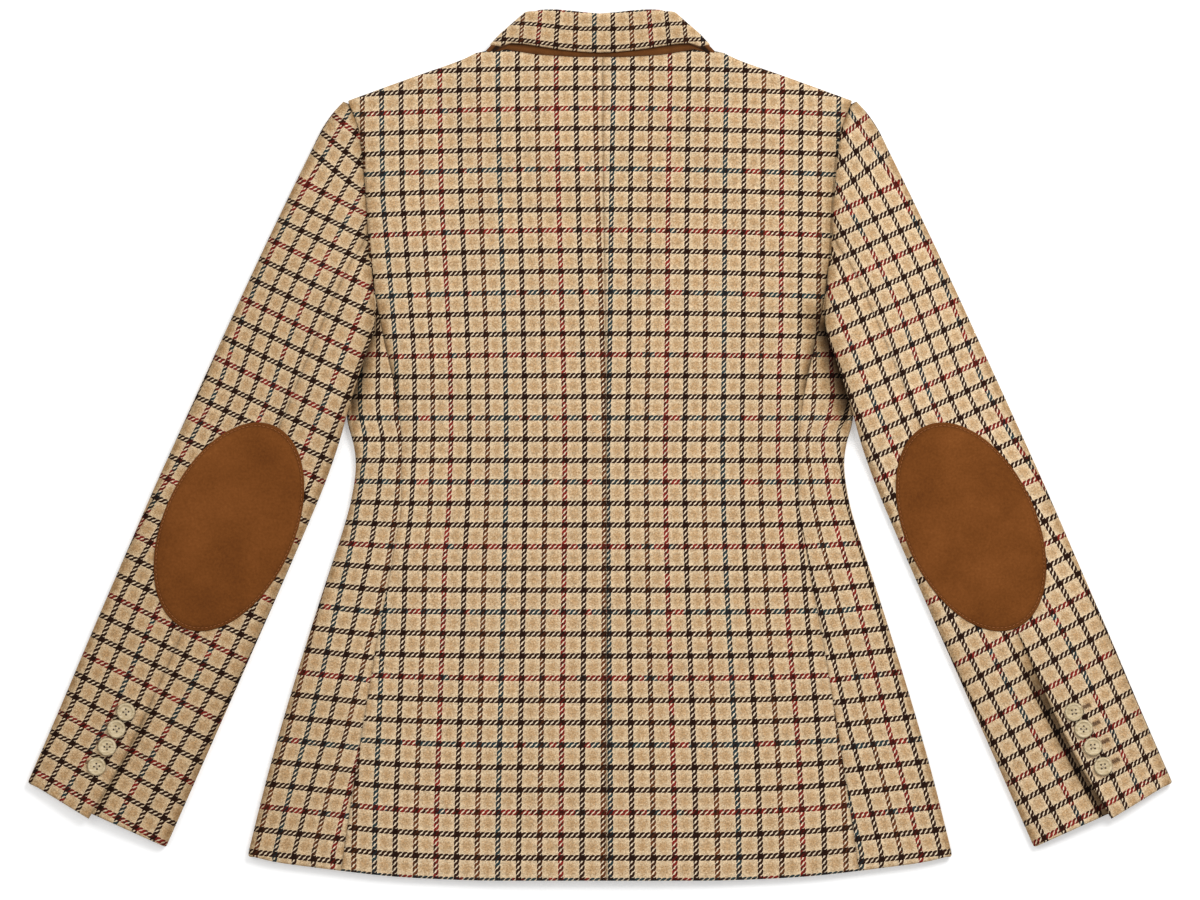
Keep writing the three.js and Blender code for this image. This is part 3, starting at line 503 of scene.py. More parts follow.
def outside(polygon, x, y):
    """Distance outside a polygon, and 0 inside it."""
    within = np.zeros(x.shape, bool)
    nearest = np.full(x.shape, 1e9)
    for a, b in zip(polygon, np.roll(polygon, -1, 0)):
        crosses = (a[1] > y) != (b[1] > y)
        level = b[1] - a[1] if abs(b[1] - a[1]) > 1e-9 else 1e-9
        within ^= crosses & (x < a[0] + (b[0] - a[0]) * (y - a[1]) / level)
        span = (b[0] - a[0]) ** 2 + (b[1] - a[1]) ** 2
        t = np.clip(((x - a[0]) * (b[0] - a[0]) + (y - a[1]) * (b[1] - a[1])) / span, 0, 1)
        nearest = np.minimum(nearest, np.hypot(x - a[0] - t * (b[0] - a[0]), y - a[1] - t * (b[1] - a[1])))
    return np.where(within, 0, nearest)


LAPEL_PLAN = np.array([*zip(LAPEL_EDGE["x"], LAPEL_EDGE["y"]), GORGE])
LEAF_PLAN = np.array([(56, 337), (61, 318), (65, 290), (67, 254), (118, 228), (112, 274), (94, 303),
                      (82, 318)])


def near(distance):
    """1 up to a bump in the layers below, fading out beside it."""
    return 1 - smooth(distance, 26, 56)


def right_bottom(x, y):
    """Height of the right front, over its lapel, the collar's leaf and the buttons."""
    rises = [LAYER * near(outside(plan, x, y)) for plan in (LAPEL_PLAN, LEAF_PLAN)]
    rises += [2.9 * near(np.hypot(x, y - at) - 10) for at in FRONT_BUTTON_Y]
    return np.maximum.reduce(rises)


def front_bottom(side, x, y):
    """Height of a front; the left one laps over the right."""
    if side > 0:
        return right_bottom(x, y)
    lapped = near(x - OVERLAP) * near(y - BREAK[1] - OVERLAP * 2.5)
    return np.maximum(right_bottom(x, y), lapped * (right_bottom(-x, y) + LAYER + 0.5))


def front_panel(side):
    """Front, under the back, with its outer edge along the same seams."""
    edge = outer_edge()
    opening = [(-OVERLAP, HEM_Y), BREAK, NECK_POINT]
    us, vs = shares(222, 8.0), shares(LENGTH, 8.0, CLOSE_ROWS)
    plan = coons(opening, edge, hem_between(-OVERLAP, edge[0, 0]), shoulder_seam(edge), us, vs)
    x, y = plan[..., 0], plan[..., 1]
    z = shoulder_roll(front_bottom(side, x, y), vs, 1.0, SHOULDER_MIDDLE - 0.3)
    grid = points(x * side, y, z)
    uv = points(*body_check(-x * side, y))
    return cloth(f"front_{WORD[side]}_cloth", grid, uv, CLOTH, -side, ("fold", "seam", "fold", "seam"))


def painted_sleeve_shadow(side, x, y):
    """Painted shadow of the sleeve on the body beside it, where the body goes in under it."""
    out, lean, deep, wide = (183.4, 0.25, 0.85, 9) if side < 0 else (178.8, 0.304, 0.95, 12)
    away = out + lean * (92 - y) - x
    return deep * beside(np.maximum(away, 0) / wide) * smooth(y, -12, 30) * (1 - smooth(y, 92, 124))


def side_panel(side):
    """The side, from its seam over the fold at the garment's edge and back underneath."""
    radius = BODY_HEIGHT / 2
    fold_x = lambda y: lookup(SIDE, y) - radius
    scye_along = lambda t: PRINCESS_TOP + (UNDERARM - 5 - PRINCESS_TOP) * t
    scye_at = lambda t: sleeve_plan(scye_along(t), lookup(ARMHOLE, scye_along(t)))
    y = np.linspace(lookup(HEM, PRINCESS["x"][0]), PRINCESS["y"][-1], 140)
    seam = points(lookup(PRINCESS, y), y)
    low = np.array([fold_x(-326), lookup(HEM, fold_x(-326))])
    start, end = scye_at(np.array([0.0]))[0], scye_at(np.array([1.0]))[0]
    fold_y = np.linspace(low[1], end[1], 140)
    fold = points(fold_x(fold_y), fold_y)
    us, vs = shares(60, 4.0), shares(460, 4.0)
    scye = lambda u: scye_at(1 - u) + np.outer(1 - u, fold[-1] - end) + np.outer(u, seam[-1] - start)
    plan = coons(fold, seam, hem_between(low[0], seam[0, 0]), scye, us, vs)
    x, y = np.moveaxis(plan[:, ::-1], -1, 0)
    share = np.linspace(0, 1, x.shape[1])[None]
    z = BODY_HEIGHT + relief(x * side, y) * (1 - share) * smooth(y, -345, -325) + 0 * x
    top = points(x * side, y, z)
    here = plan[:, 0]
    lean = (fold_x(here[:, 1] + 1) - fold_x(here[:, 1] - 1)) / 2
    out = unit(points(np.ones_like(lean), -lean))
    turn = np.linspace(0, math.pi, 13)[1:-1]
    reach = radius * np.sin(turn)
    arc = points((here[:, :1] + out[:, :1] * reach) * side, here[:, 1:] + out[:, 1:] * reach,
                    radius * (1 + np.cos(turn)) + 0 * here[:, :1])
    bottom = top[:, ::-1] * (1, 1, 0)
    grid = np.hstack([top, arc, bottom])
    over = np.hstack([x, here[:, :1] + radius * turn,
                           here[:, :1] + radius * math.pi + np.abs(here[:, :1] - x[:, ::-1])])
    uv = points(*side_check(over * side, grid[..., 1]))
    # Painted shade beside the fold at the edge and the painted shadow of the sleeve; the turned fold and the
    # underside get an even painted shade.
    shade = np.maximum(0.2 * beside((fold_x(y) + radius - x) / 6), painted_sleeve_shadow(side, x, y))
    shade = np.hstack([shade, 0 * arc[..., 0] + 0.3, 0 * x + 0.3])
    return cloth(f"side_{WORD[side]}_cloth", grid, uv, CLOTH, side, HEMMED, shade)


def lapel_panel(side):
    """Lapel, face down on the floor, from its roll to its edge."""
    edge = points(LAPEL_EDGE["x"], LAPEL_EDGE["y"])
    slope = (NECK_POINT[0] - BREAK[0]) / (NECK_POINT[1] - BREAK[1])
    roll = np.array([(BREAK[0] + slope * (y - BREAK[1]) + 1, y) for y in (edge[0, 1] + 3, GORGE[1])])
    ends = [[roll[k], edge[k]] for k in (0, -1)]
    plan = coons(roll, edge, *ends, shares(50, 5.0), shares(160, 5.0))
    x, y = plan[..., 0], plan[..., 1]
    grid = points(x * side, y, 0 * x)
    uv = points(*body_check(x * side, y))
    return cloth(f"lapel_{WORD[side]}_cloth", grid, uv, 2.0, -side, ("fold",) * 4)


# -------- sleeves
SLEEVE_KINDS = ("seam", "fold", "seam", "seam")


def sleeve_piece(kind, side, at, across, z, lift, grain, spread, outward, shade):
    """One piece of a sleeve; spread is how far across the flat cloth each point lies."""
    grid = on_sleeve(side, at, across, z + lift * sleeve_relief(side, at, across))
    uv = points(*sleeve_check(grain, side, at, spread))
    return cloth(f"{kind}_sleeve_{WORD[side]}_cloth", grid, uv, CLOTH, outward, SLEEVE_KINDS, shade)


def top_sleeve(side):
    """From the hindarm seam over the fold at the outer edge and back underneath."""
    along = (shares(CUFF, 4.0) * CUFF)[:, None]
    arm = lookup(ARMHOLE, np.minimum(along, UNDERARM))
    radius = fold_radius(along)
    fold = lookup(OUTER_EDGE, along) + radius
    seam = np.maximum(np.where(along <= SCYE_SEAM, arm, lookup(HINDARM, along)), fold + 0.5)
    below = np.maximum(np.where(along < UNDERARM, arm, lookup(FOREARM, along)), fold + 0.5)
    us = shares(62, 4.0)
    turn = np.linspace(0, math.pi, 13)[1:-1]
    top = seam + (fold - seam) * us
    arc = fold - radius * np.sin(turn)
    low = fold + (below - fold) * us
    across = np.hstack([top, arc, low])
    z = np.hstack([sleeve_top(along, top), SLEEVE_FOLD + radius * np.cos(turn), SLEEVE_FOLD - radius + 0 * low])
    hem = smooth(along, 560, CUFF)
    corner = np.clip((across - 4) / 46, 0, 1)
    at = along + (CUFF_DIP - CUFF_LIFT * (1 - corner)) * hem
    at[:, -us.size:] -= 6 * hem * np.clip(us / 0.15, 0, 1)
    lift = np.hstack([smooth(top - fold, 0, 18), 0 * arc, 0 * low])
    under = fold - radius * math.pi - (low - fold)
    spread = np.hstack([top, fold - radius * turn, under])
    # Painted shade along the vent, beside the sleeve head's seam and beside the outer fold; the fold and the
    # underside get an even painted shade.
    vent_shade = 0.3 * smooth(along, 480, 520) if side < 0 else 0.5 * smooth(along, 400, 470)
    head_shade = 0.4 * (1 - smooth(along, 84, 110))
    shade = (head_shade * beside((seam - top) / 5) + vent_shade * beside((seam - top) / 1.5)
             + 0.30 * beside((top - (fold - radius)) / 5))
    shade = np.hstack([shade, 0 * arc + 0.3, 0 * low + 0.3])
    return sleeve_piece("top", side, at, across, z, lift, TOP_GRAIN, spread, -side, shade)


def under_sleeve(side):
    """From the hindarm seam to the inner edge, where it turns under."""
    start = SCYE_SEAM + 2
    along = (start + shares(CUFF - start, 4.0) * (CUFF - start))[:, None]
    turn = np.radians(lookup(TURN_UNDER, along, "turn"))
    arc, strip = lookup(TURN_UNDER, along, "arc"), lookup(TURN_UNDER, along, "strip")
    bend = np.maximum(turn, 0.01) / arc
    furthest = np.where(turn > math.pi / 2, 1 / bend, np.sin(turn) / bend + strip * np.cos(turn))
    start, inner = lookup(HINDARM, along), lookup(INNER_EDGE, along)
    end = np.maximum(inner - np.where(turn > 0.01, furthest, arc + strip), start + 0.3)
    top = start + (end - start) * shares(56, 4.0)
    top_z = sleeve_top(along, top)
    bent, rest = arc * np.linspace(0, 1, 12)[1:], strip * np.linspace(0, 1, 6)[1:]
    curl = end + np.sin(bend * bent) / bend
    curl_z = top_z[:, -1:] - (1 - np.cos(bend * bent)) / bend
    tail = curl[:, -1:] + rest * np.cos(turn)
    across = np.hstack([top, curl, tail])
    z = np.hstack([top_z, curl_z, curl_z[:, -1:] - rest * np.sin(turn)])
    lift = np.hstack([smooth(end - top, -2, 16), 0 * curl, 0 * tail])
    spread = np.hstack([top, end + bent, end + arc + rest])
    # Painted shade along the vent and beside the inner edge; the curl and the strip past it get an even painted
    # shade.
    if side < 0:
        vent_shade = 0.35 * (1 - smooth(top - start, 3, 7)) * smooth(along, 470, 530)
    else:
        vent_shade = 0.88 * (1 - smooth(top - start, 6.5, 10.5)) * smooth(along, 430, 500)
    shade = vent_shade + (0.28 + 0.2 * (1 - smooth(along, 150, 260))) * beside((inner - top) / 6)
    shade = np.hstack([shade, 0 * curl + 0.35, 0 * tail + 0.35])
    return sleeve_piece("under", side, along + 0 * across, across, z, lift, UNDER_GRAIN, spread, side, shade)


def sleeve_relief(side, along, across):
    """Soft unevenness of the sleeve, with a dent by the outer edge below the shoulder."""
    x, y = along + 900 * side, across
    soft = 0.5 * noise(x, y, 70, 21) + 0.28 * noise(x, y, 33, 22) + 0.12 * noise(x, y, 15, 23)
    at = along - (64 - 0.12 * across)
    reach = smooth(across, -8, 0) * (1 - smooth(across, 12, 26))
    return soft + reach * (0.9 * beside((at + 3.5) / 3.5) - 1.1 * beside((at - 1) / 2.2))


# -------- collar
# Where the collar's roll and its free edge run, from the middle of the neck round to the leaf.
COLLAR = rows("station x y edge_x edge_y turn",
              (0, 0, 340, 0, 314.3, 0), (1, 14, 341.2, 14, 314.7, 0), (2, 24, 342.4, 30, 316.2, 0),
              (3, 36, 343.6, 46, 318.4, 0), (4, 45, 344, 60, 320.4, 0), (5, 51, 344, 71, 320.6, 0),
              (6, 54.8, 343.2, 79, 318.4, 0), (7, 55.4, 341, 79, 318.4, 36), (8, 55.6, 338.8, 79, 318.4, 72),
              (9, 55.6, 338.8, 79, 318.4, 108), (10, 55.6, 338.8, 79, 318.4, 144),
              (11, 55.6, 338.8, 79, 318.4, 180), (12, 61, 318, 94, 303, 180), (13, 65, 290, 112, 274, 180),
              (14, 67, 254, 118, 228, 180))
COLLAR_PITCH = 14.8


def collar_grid(stations, level, radius, turn, extra, inset, stand, steps):
    """Columns from the free edge over the roll, and on down the stand where there is one, by station."""
    col = lambda name: np.interp(stations, COLLAR["station"], COLLAR[name])
    roll = points(col("x"), col("y"))
    edge = points(col("edge_x"), col("edge_y"))
    down = unit(edge - roll)
    around = points(-down[:, 1], down[:, 0])
    angle = np.radians(col("turn"))[:, None]
    width = np.linalg.norm(edge - roll, axis=-1)[:, None] + extra[:, None]
    inset = inset[:, None]
    s = np.linspace(0, 1, 12)[1:]
    reach = [width + (inset - width) * steps, inset - radius * np.sin(turn * s)]
    height = [level - 1.1 * (1 - smooth(steps, 0, 0.35)) + 0 * width,
              level - radius * (1 - np.cos(turn * s)) + 0 * width]
    if stand is not None:
        s = np.linspace(0, 1, 10)[1:]
        reach.append(inset + (stand[:, None] - inset) * s)
        height.append(level - 2 * radius + 0 * reach[-1])
    reach, height = np.hstack(reach), np.hstack(height) - WRAP
    plan = (roll[:, None] + down[:, None] * reach[..., None]
            + around[:, None] * (height * np.sin(angle))[..., None])
    return points(plan[..., 0], plan[..., 1], WRAP + height * np.cos(angle)), reach


def both_sides(half, uv):
    """The right half of the collar with its mirror image."""
    mirrored, uv_left = half[::-1] * (-1, 1, 1), uv[::-1] * (-1, 1)
    return np.vstack([mirrored, half[1:]]), np.vstack([uv_left, uv[1:]])


def collar():
    """Fall of the collar, turned over beside the neck into the leaf that lies under the fronts."""
    stations = np.hstack([np.linspace(0, 6, 49), np.linspace(6, 11, 31)[1:], np.linspace(11, 14, 25)[1:]])
    col = lambda at, values: np.interp(stations, at, values)[:, None]
    extra = col([0, 4, 5, 6, 7, 8, 9, 10, 11], [1.3, 0.6, 0, 0.6, 3.5, 6, 6.5, 3, 0])[:, 0]
    half, reach = collar_grid(stations, COLLAR_HEIGHT, 4.4, math.radians(125), extra, 0 * stations, None,
                              shares(27, 2.0, (0.5, 1.1, 1.9, 3.0)))
    x, y = half[..., 0], half[..., 1]
    seen = 1 - smooth(stations, 8.5, 10)[:, None]
    leaf = (col(COLLAR["station"], COLLAR["x"]) + col([0, 6, 11, 14], [0, 0, 20, 100])
            + np.maximum(reach, 0) * col([0, 3, 6, 14], [0, 0.2, 0.55, 0.55]))
    fall = x + 0.08 * np.maximum(x - 42, 0) - 0.09 * smooth(x, 0, 50) * (335 - y)
    warp = seen * fall + (1 - seen) * leaf
    free_edge = np.interp(x, [0, 14, 30, 46, 60, 72, 90], [313, 313.4, 315.2, 317.8, 320, 320.8, 321])
    from_edge = seen * (y - free_edge) + (1 - seen) * (reach[:, :1] - reach)
    weft = (from_edge - col([0, 4, 14], [4.2, 2.6, 2.6])) / col([0, 4, 6, 14], [14.8, 14.2, 13.3, 13.3])
    uv = points(YARNS * warp / COLLAR_PITCH, YARNS * weft + LINE_MIDDLE + YARNS)
    grid, uv = both_sides(half, uv)
    uv[..., 0] += LINE_MIDDLE + YARNS * 4.6 / COLLAR_PITCH
    # The collar gets an even painted shade of 0.10.
    return cloth("collar_cloth", grid, uv, CLOTH, -1, ("fold", "fold", "fold", "none"), 0.10)


def felt():
    """Under collar: the fall's lining and the stand; its uv holds the painted shade of each point, deepest
    where it lies out of the light under the fall.
    """
    stations = np.linspace(0, 8, 65)
    col = lambda values: np.interp(stations, np.arange(9), values)
    extra = col([-0.4, -0.6, -0.8, -0.6, 0.0, 0.6, 3, 9, 19])
    inset = col([3.5, 3.5, 3.5, 3.5, 6, 11, 15, 15, 15])
    stand = col([30, 31.4, 32.6, 34.4, 35.5, 37, 41, 47, 52])
    half, reach = collar_grid(stations, COLLAR_HEIGHT - CLOTH - 0.5, 1.9, math.pi, extra, inset, stand,
                              shares(25, 2.5, (0.5, 1.1)))
    fall = np.arange(reach.shape[1]) < reach.shape[1] - 9
    # Painted shade: deep in the cavity at the collar's ends, and on the stand just under the fall's edge.
    cavity = smooth(stations, 5.6, 6.2)[:, None]
    shaded = 0.85 * np.clip(1 - (reach - reach[:, :1] - 0.2) / 2.4, 0, 1)
    felt_shade = np.where(fall, cavity * (1 - smooth(stations, 6.7, 7.2)[:, None]), np.maximum(cavity, shaded))
    grid, uv = both_sides(half, points(felt_shade, reach))
    uv[..., 0] = np.abs(uv[..., 0])
    return cloth("under_collar_felt", grid, uv, FELT, -1, ("fold", "fold", "fold", "none"))


# -------- patches and stitches
def tube(ring):
    """Points and faces of a closed tube, from its rings of points."""
    index = np.arange(ring.shape[0] * ring.shape[1]).reshape(ring.shape[:2])
    nxt = np.roll(index, -1, 1)
    quads = points(index[:-1], nxt[:-1], nxt[1:], index[1:]).reshape(-1, 4).tolist()
    return ring.reshape(-1, 3), quads + [index[0][::-1].tolist(), index[-1].tolist()]


def joined(tubes):
    """Points and faces of several tubes together."""
    verts, faces = [], []
    for spots, quads in tubes:
        start = sum(map(len, verts))
        faces += [[i + start for i in face] for face in quads]
        verts.append(spots)
    return np.vstack(verts), faces


def strand(path, radius, sides):
    """Closed tube with tapered ends along a path of points."""
    path = np.asarray(path, float)
    tangent = unit(np.gradient(path, axis=0))
    helper = np.array([0.0, 0.0, 1.0]) if abs(tangent[:, 2]).max() < 0.9 else np.array([1.0, 0.3, 0.0])
    one = unit(np.cross(tangent, helper))[:, None]
    two = np.cross(tangent, one[:, 0])[:, None]
    turn = np.linspace(0, 2 * math.pi, sides, endpoint=False)[None, :, None]
    taper = np.full((len(path), 1, 1), radius)
    taper[0] = taper[-1] = radius * 0.45
    return tube(path[:, None] + taper * (np.cos(turn) * one + np.sin(turn) * two))


def stitches(name, paths, radius, sides=5):
    """One piece of several strands; its uv runs along each and tells them apart."""
    verts, faces = joined([strand(path, radius, sides) for path in paths])
    uvs = []
    for path in paths:
        apart = random.random()
        uvs += [(k, apart) for k in range(len(path)) for _ in range(sides)]
    return mesh_piece(name, verts, faces, uvs)


def patch_point(side, ring, angle, lift):
    """Point of the patch at a share of its size, and its place from the patch's middle."""
    a = PATCH["length"] * ring * np.cos(angle)
    b = PATCH["width"] * ring * np.sin(angle)
    along, across = PATCH["along"] + a, PATCH["across"] + b
    z = sleeve_top(along, across) + sleeve_relief(side, along, across)
    return on_sleeve(side, along, across, z + lift), points(a, b)


def patch_creases(side, ring, turn):
    """Soft creases that fan over the lower end of the patch."""
    a, b = ring * np.cos(turn), ring * np.sin(turn)
    fan = np.sin(7 * np.arctan2(b, 1.5 - a) + 1.3 * side) * smooth(a, 0.1, 0.7)
    fan = fan * (1 - smooth(ring, 0.85, 0.97))
    return 0.16 * fan + 0.12 * noise(a * 88 + 300 * side, b * 58, 22, 41) * (1 - smooth(ring, 0.9, 0.98))


def elbow_patch(side):
    """Oval patch, puffed inside its line of stitches."""
    rings = np.array([0.02, 0.1, 0.2, 0.3, 0.4, 0.5, 0.6, 0.68, 0.76, 0.83, 0.88, 0.92, 0.945, 0.96, 0.972,
                      0.985, 0.994, 1.0])
    turn, ring = np.meshgrid(np.linspace(0, 2 * math.pi, 120, endpoint=False), rings)
    inward = (1 - ring) * PATCH["width"]
    puff = 0.55 * smooth(inward, 2.6, 8) - 0.35 * beside((inward - STITCHED_IN) / 0.7)
    edge = 0.9 * (1 - np.sqrt(np.maximum(1 - np.clip(1 - inward / 0.9, 0, 1) ** 2, 0)))
    top, flat = patch_point(side, ring, turn, 1.5 + puff - edge + patch_creases(side, ring, turn))
    low, _ = patch_point(side, ring, turn, 0.3)
    index = np.arange(ring.size).reshape(ring.shape)
    nxt = np.roll(index, -1, 1)
    quads = points(index[:-1], index[1:], nxt[1:], nxt[:-1]).reshape(-1, 4)
    rim = points(index[-1], index[-1] + ring.size, nxt[-1] + ring.size, nxt[-1])
    faces = quads.tolist() + (quads[:, ::-1] + ring.size).tolist() + rim.tolist()
    faces += [index[0].tolist(), (index[0] + ring.size)[::-1].tolist()]
    if side > 0:
        faces = [f[::-1] for f in faces]
    # Painted shade in the stitched groove and at the rounded rim, for the suede.
    painted_shade = points(beside((inward - STITCHED_IN) / 0.9) + 0.5 * (inward < 0.7), inward).reshape(-1, 2)
    verts = np.vstack([top.reshape(-1, 3), low.reshape(-1, 3)])
    return mesh_piece(f"elbow_patch_{WORD[side]}_suede", verts, faces, np.vstack([flat.reshape(-1, 2)] * 2),
                      layers={"painted_shade": np.vstack([painted_shade] * 2)})


def patch_stitches(side):
    """Ring of even stitches just inside the patch's edge."""
    ring = 1 - STITCHED_IN / PATCH["width"]
    fine = np.linspace(0, 2 * math.pi, 2000)
    line, _ = patch_point(side, ring, fine, 0 * fine)
    length = np.hstack([0, np.cumsum(np.linalg.norm(np.diff(line, axis=0), axis=-1))])
    count = round(length[-1] / 3.3)
    pitch = length[-1] / count
    hump = np.array([1.15, 1.45, 1.55, 1.45, 1.15])
    paths = []
    for k in range(count):
        at = (k + np.linspace(0.10, 0.86, 5)) * pitch
        point, _ = patch_point(side, ring, np.interp(at, length, fine), hump)
        paths.append(point)
    return stitches(f"patch_stitches_{WORD[side]}", paths, 0.28)


# -------- buttons
def lathe(profile, sides=48):
    """Points and faces of a profile of radii and heights turned about z."""
    radius, height = np.asarray(profile, float).T[..., None]
    turn = np.linspace(0, 2 * math.pi, sides, endpoint=False)
    return tube(points(radius * np.cos(turn), radius * np.sin(turn), height + 0 * turn))


BUTTON_PROFILE = [(0.0, 0.0), (0.55, 0.0), (0.8, 0.03), (0.93, 0.12), (0.99, 0.26), (1.0, 0.42),
                  (0.985, 0.62), (0.95, 0.82), (0.90, 0.95), (0.84, 1.0), (0.78, 0.985), (0.73, 0.93),
                  (0.69, 0.84), (0.66, 0.76), (0.62, 0.72), (0.5, 0.7), (0.3, 0.69), (0.02, 0.69)]
BUTTON_FLOOR = 0.70
HOLE_PROFILE = [(1.28, -0.02), (1.22, 0.02), (1.05, 0.015), (0.9, 0.006), (0.05, 0.005)]
HOLE_REACH = 0.23
HOLE_SIZE = 0.085


def button(name, place, diameter, height, turned, spin, face=1):
    """Button with a raised rim, four holes and crossed thread; returns its three pieces."""
    radius = diameter / 2
    holes, thread = [], []
    for k in range(4):
        a = math.radians(45 + 90 * k)
        profile = [(HOLE_SIZE * radius * r, height * (BUTTON_FLOOR + z)) for r, z in HOLE_PROFILE]
        cup, quads = lathe(profile, 16)
        cup[:, :2] += np.array([math.cos(a), math.sin(a)]) * HOLE_REACH * radius * 1.25
        holes.append((cup, quads))
    s = np.linspace(-1, 1, 9)
    for k in range(2):
        a = math.radians(45 + 90 * k)
        way, aside = np.array([math.cos(a), math.sin(a)]), np.array([-math.sin(a), math.cos(a)])
        lift = height * BUTTON_FLOOR + 0.42 * (1 - s ** 4) + 0.22 * k * (1 - s ** 2)
        for offset in (-0.16, 0.16):
            plan = np.outer(s * HOLE_REACH * radius, way) + aside * offset * (1 - 0.2 * s ** 2)[:, None]
            thread.append(strand(np.hstack([plan, lift[:, None]]), 0.16, 6))
    parts = {"horn": lathe([(r * radius, h * height) for r, h in BUTTON_PROFILE]), "holes": joined(holes),
             "thread": joined(thread)}
    made = []
    c, s = math.cos(spin), math.sin(spin)
    for part, (flat, faces) in parts.items():
        x, y, z = flat.T
        x, y = x * c - y * s, x * s + y * c
        tilted = points(x, y, z + turned[0] * x + turned[1] * y) * (1, face, face)
        made.append(mesh_piece(f"{name}_{part}", tilted + place, faces, flat[:, :2]))
    return made


def buttonholes(side):
    """Worked holes beside the sleeve buttons: a bar of close brown stitches."""
    paths = []
    for along, across in zip(SLEEVE_BUTTONS["along"], SLEEVE_BUTTONS["across"]):
        for k, r in enumerate(np.linspace(-14.2, -8.4, 9) if side > 0 else (-9.4, -8.6, -7.8)):
            s = np.linspace(-1, 1, 5)
            a = along + 1.9 * s + 0.35 * math.sin(9 * k)
            b = across + r + 0.15 * math.sin(5 * k) * s
            z = sleeve_top(a, b) + sleeve_relief(side, a, b) + 0.22 + 0.3 * (1 - s ** 2)
            paths.append(on_sleeve(side, a, b, z))
    return stitches(f"buttonhole_stitches_{WORD[side]}", paths, 0.22)


# -------- materials
def srgb(r, g, b):
    to = lambda v: v / 12.92 if v <= 0.04045 else ((v + 0.055) / 1.055) ** 2.4
    return (to(r / 255), to(g / 255), to(b / 255), 1.0)


def grey(value):
    return (value, value, value, 1.0)


class Value:
    """Output of a shader node; ordinary arithmetic on it makes more nodes."""
    def __init__(self, nodes, socket):
        self.nodes, self.socket = nodes, socket

    def __rsub__(self, other):
        return self.nodes.math("SUBTRACT", other, self)

    def __abs__(self):
        return self.nodes.math("ABSOLUTE", self)


OPERATORS = {"add": "ADD", "sub": "SUBTRACT", "mul": "MULTIPLY", "truediv": "DIVIDE", "pow": "POWER",
             "mod": "FLOORED_MODULO", "lt": "LESS_THAN", "gt": "GREATER_THAN"}
for word, operation in OPERATORS.items():
    setattr(Value, f"__{word}__", lambda a, b, operation=operation: a.nodes.math(operation, a, b))


class Nodes:
    """A material and the nodes put in it."""
    def __init__(self, name):
        self.material = bpy.data.materials.new(name)
        self.material.use_nodes = True
        self.tree = self.material.node_tree
        self.tree.nodes.clear()
        self.shader = self.add("BsdfPrincipled")
        self.tree.links.new(self.shader.outputs[0], self.add("OutputMaterial").inputs[0])

    def add(self, kind, **settings):
        node = self.tree.nodes.new("ShaderNode" + kind)
        for name, value in settings.items():
            setattr(node, name, value)
        return node

    def put(self, socket, value):
        if isinstance(value, Value):
            self.tree.links.new(value.socket, socket)
        else:
            socket.default_value = value

    def made(self, node, inputs, output=0):
        for key, value in inputs.items():
            self.put(node.inputs[key], value)
        return Value(self, node.outputs[output])

    def math(self, operation, a, b=0.0):
        return self.made(self.add("Math", operation=operation), {0: a, 1: b})

    def floor(self, value):
        return self.math("FLOOR", value)

    def fraction(self, value):
        return self.math("FRACT", value)

    def clamp(self, value, low=0.0, high=1.0):
        return self.math("MINIMUM", self.math("MAXIMUM", value, low), high)

    def mix(self, factor, a, b, blend="MIX"):
        return self.made(self.add("Mix", data_type="RGBA", blend_type=blend), {0: factor, 6: a, 7: b}, 2)

    def dim(self, colour, factor):
        """The colour times a number."""
        return self.mix(1.0, colour, self.join(factor, factor, factor), "MULTIPLY")

    def ramp(self, factor, stops, how="LINEAR"):
        node = self.add("ValToRGB")
        node.color_ramp.interpolation = how
        elements = node.color_ramp.elements
        while len(elements) > 1:
            elements.remove(elements[-1])
        for k, (at, colour) in enumerate(stops):
            element = elements[0] if k == 0 else elements.new(at)
            element.position = at
            element.color = colour
        return self.made(node, {0: factor})

    def stripes(self, factor, colours):
        """Bands of the colours, all as wide."""
        return self.ramp(factor, [(k / len(colours), c) for k, c in enumerate(colours)], "CONSTANT")

    def uv(self, layer):
        split = self.add("SeparateXYZ")
        self.made(split, {0: Value(self, self.add("UVMap", uv_map=layer).outputs[0])})
        return Value(self, split.outputs[0]), Value(self, split.outputs[1])

    def join(self, x, y, z=0.0):
        return self.made(self.add("CombineXYZ"), {0: x, 1: y, 2: z})

    def noise(self, vector, scale, detail=2.0, rough=0.5):
        inputs = {"Vector": vector, "Scale": scale, "Detail": detail, "Roughness": rough}
        return self.made(self.add("TexNoise"), inputs, "Fac")

    def place(self):
        """Object coordinates in millimetres."""
        seen = Value(self, self.add("TexCoord").outputs["Object"])
        return self.made(self.add("VectorMath", operation="SCALE"), {0: seen, 3: 1 / MM})

    def bump(self, height, strength, distance):
        inputs = {"Strength": strength, "Distance": distance * MM, "Height": height}
        self.put(self.shader.inputs["Normal"], self.made(self.add("Bump"), inputs))

    def surface(self, colour, rough, specular=0.5, **others):
        """Sets the shader's sockets and returns the material."""
        named = {name.replace("_", " "): value for name, value in others.items()}
        always = {"Base Color": colour, "Roughness": rough, "Specular IOR Level": specular}
        self.made(self.shader, {**always, **named})
        return self.material


CREAM = srgb(212, 189, 156)
GAP = srgb(226, 208, 180)
TAN = srgb(180, 146, 106)
HONEY = srgb(166, 124, 80)
DARK = srgb(48, 27, 17)
INK = srgb(26, 15, 11)
RUST = srgb(106, 60, 32)
RED = srgb(134, 38, 32)
TEAL = srgb(40, 58, 62)
BODY_WARP = (TEAL, DARK, RUST, RED, DARK, RUST)
SLEEVE_WARP = (TEAL, DARK, DARK, RED, DARK, DARK)
BODY_WEFT = (RED, DARK, DARK, TEAL, DARK, DARK)
SLEEVE_WEFT = (RED, DARK, DARK, RED, DARK, DARK)
STRIPES = 6.0
TWILL = 4.0
WEFT_CENTRE = 2.5
WARP_CENTRE = 0.5
TURNED = -17.5
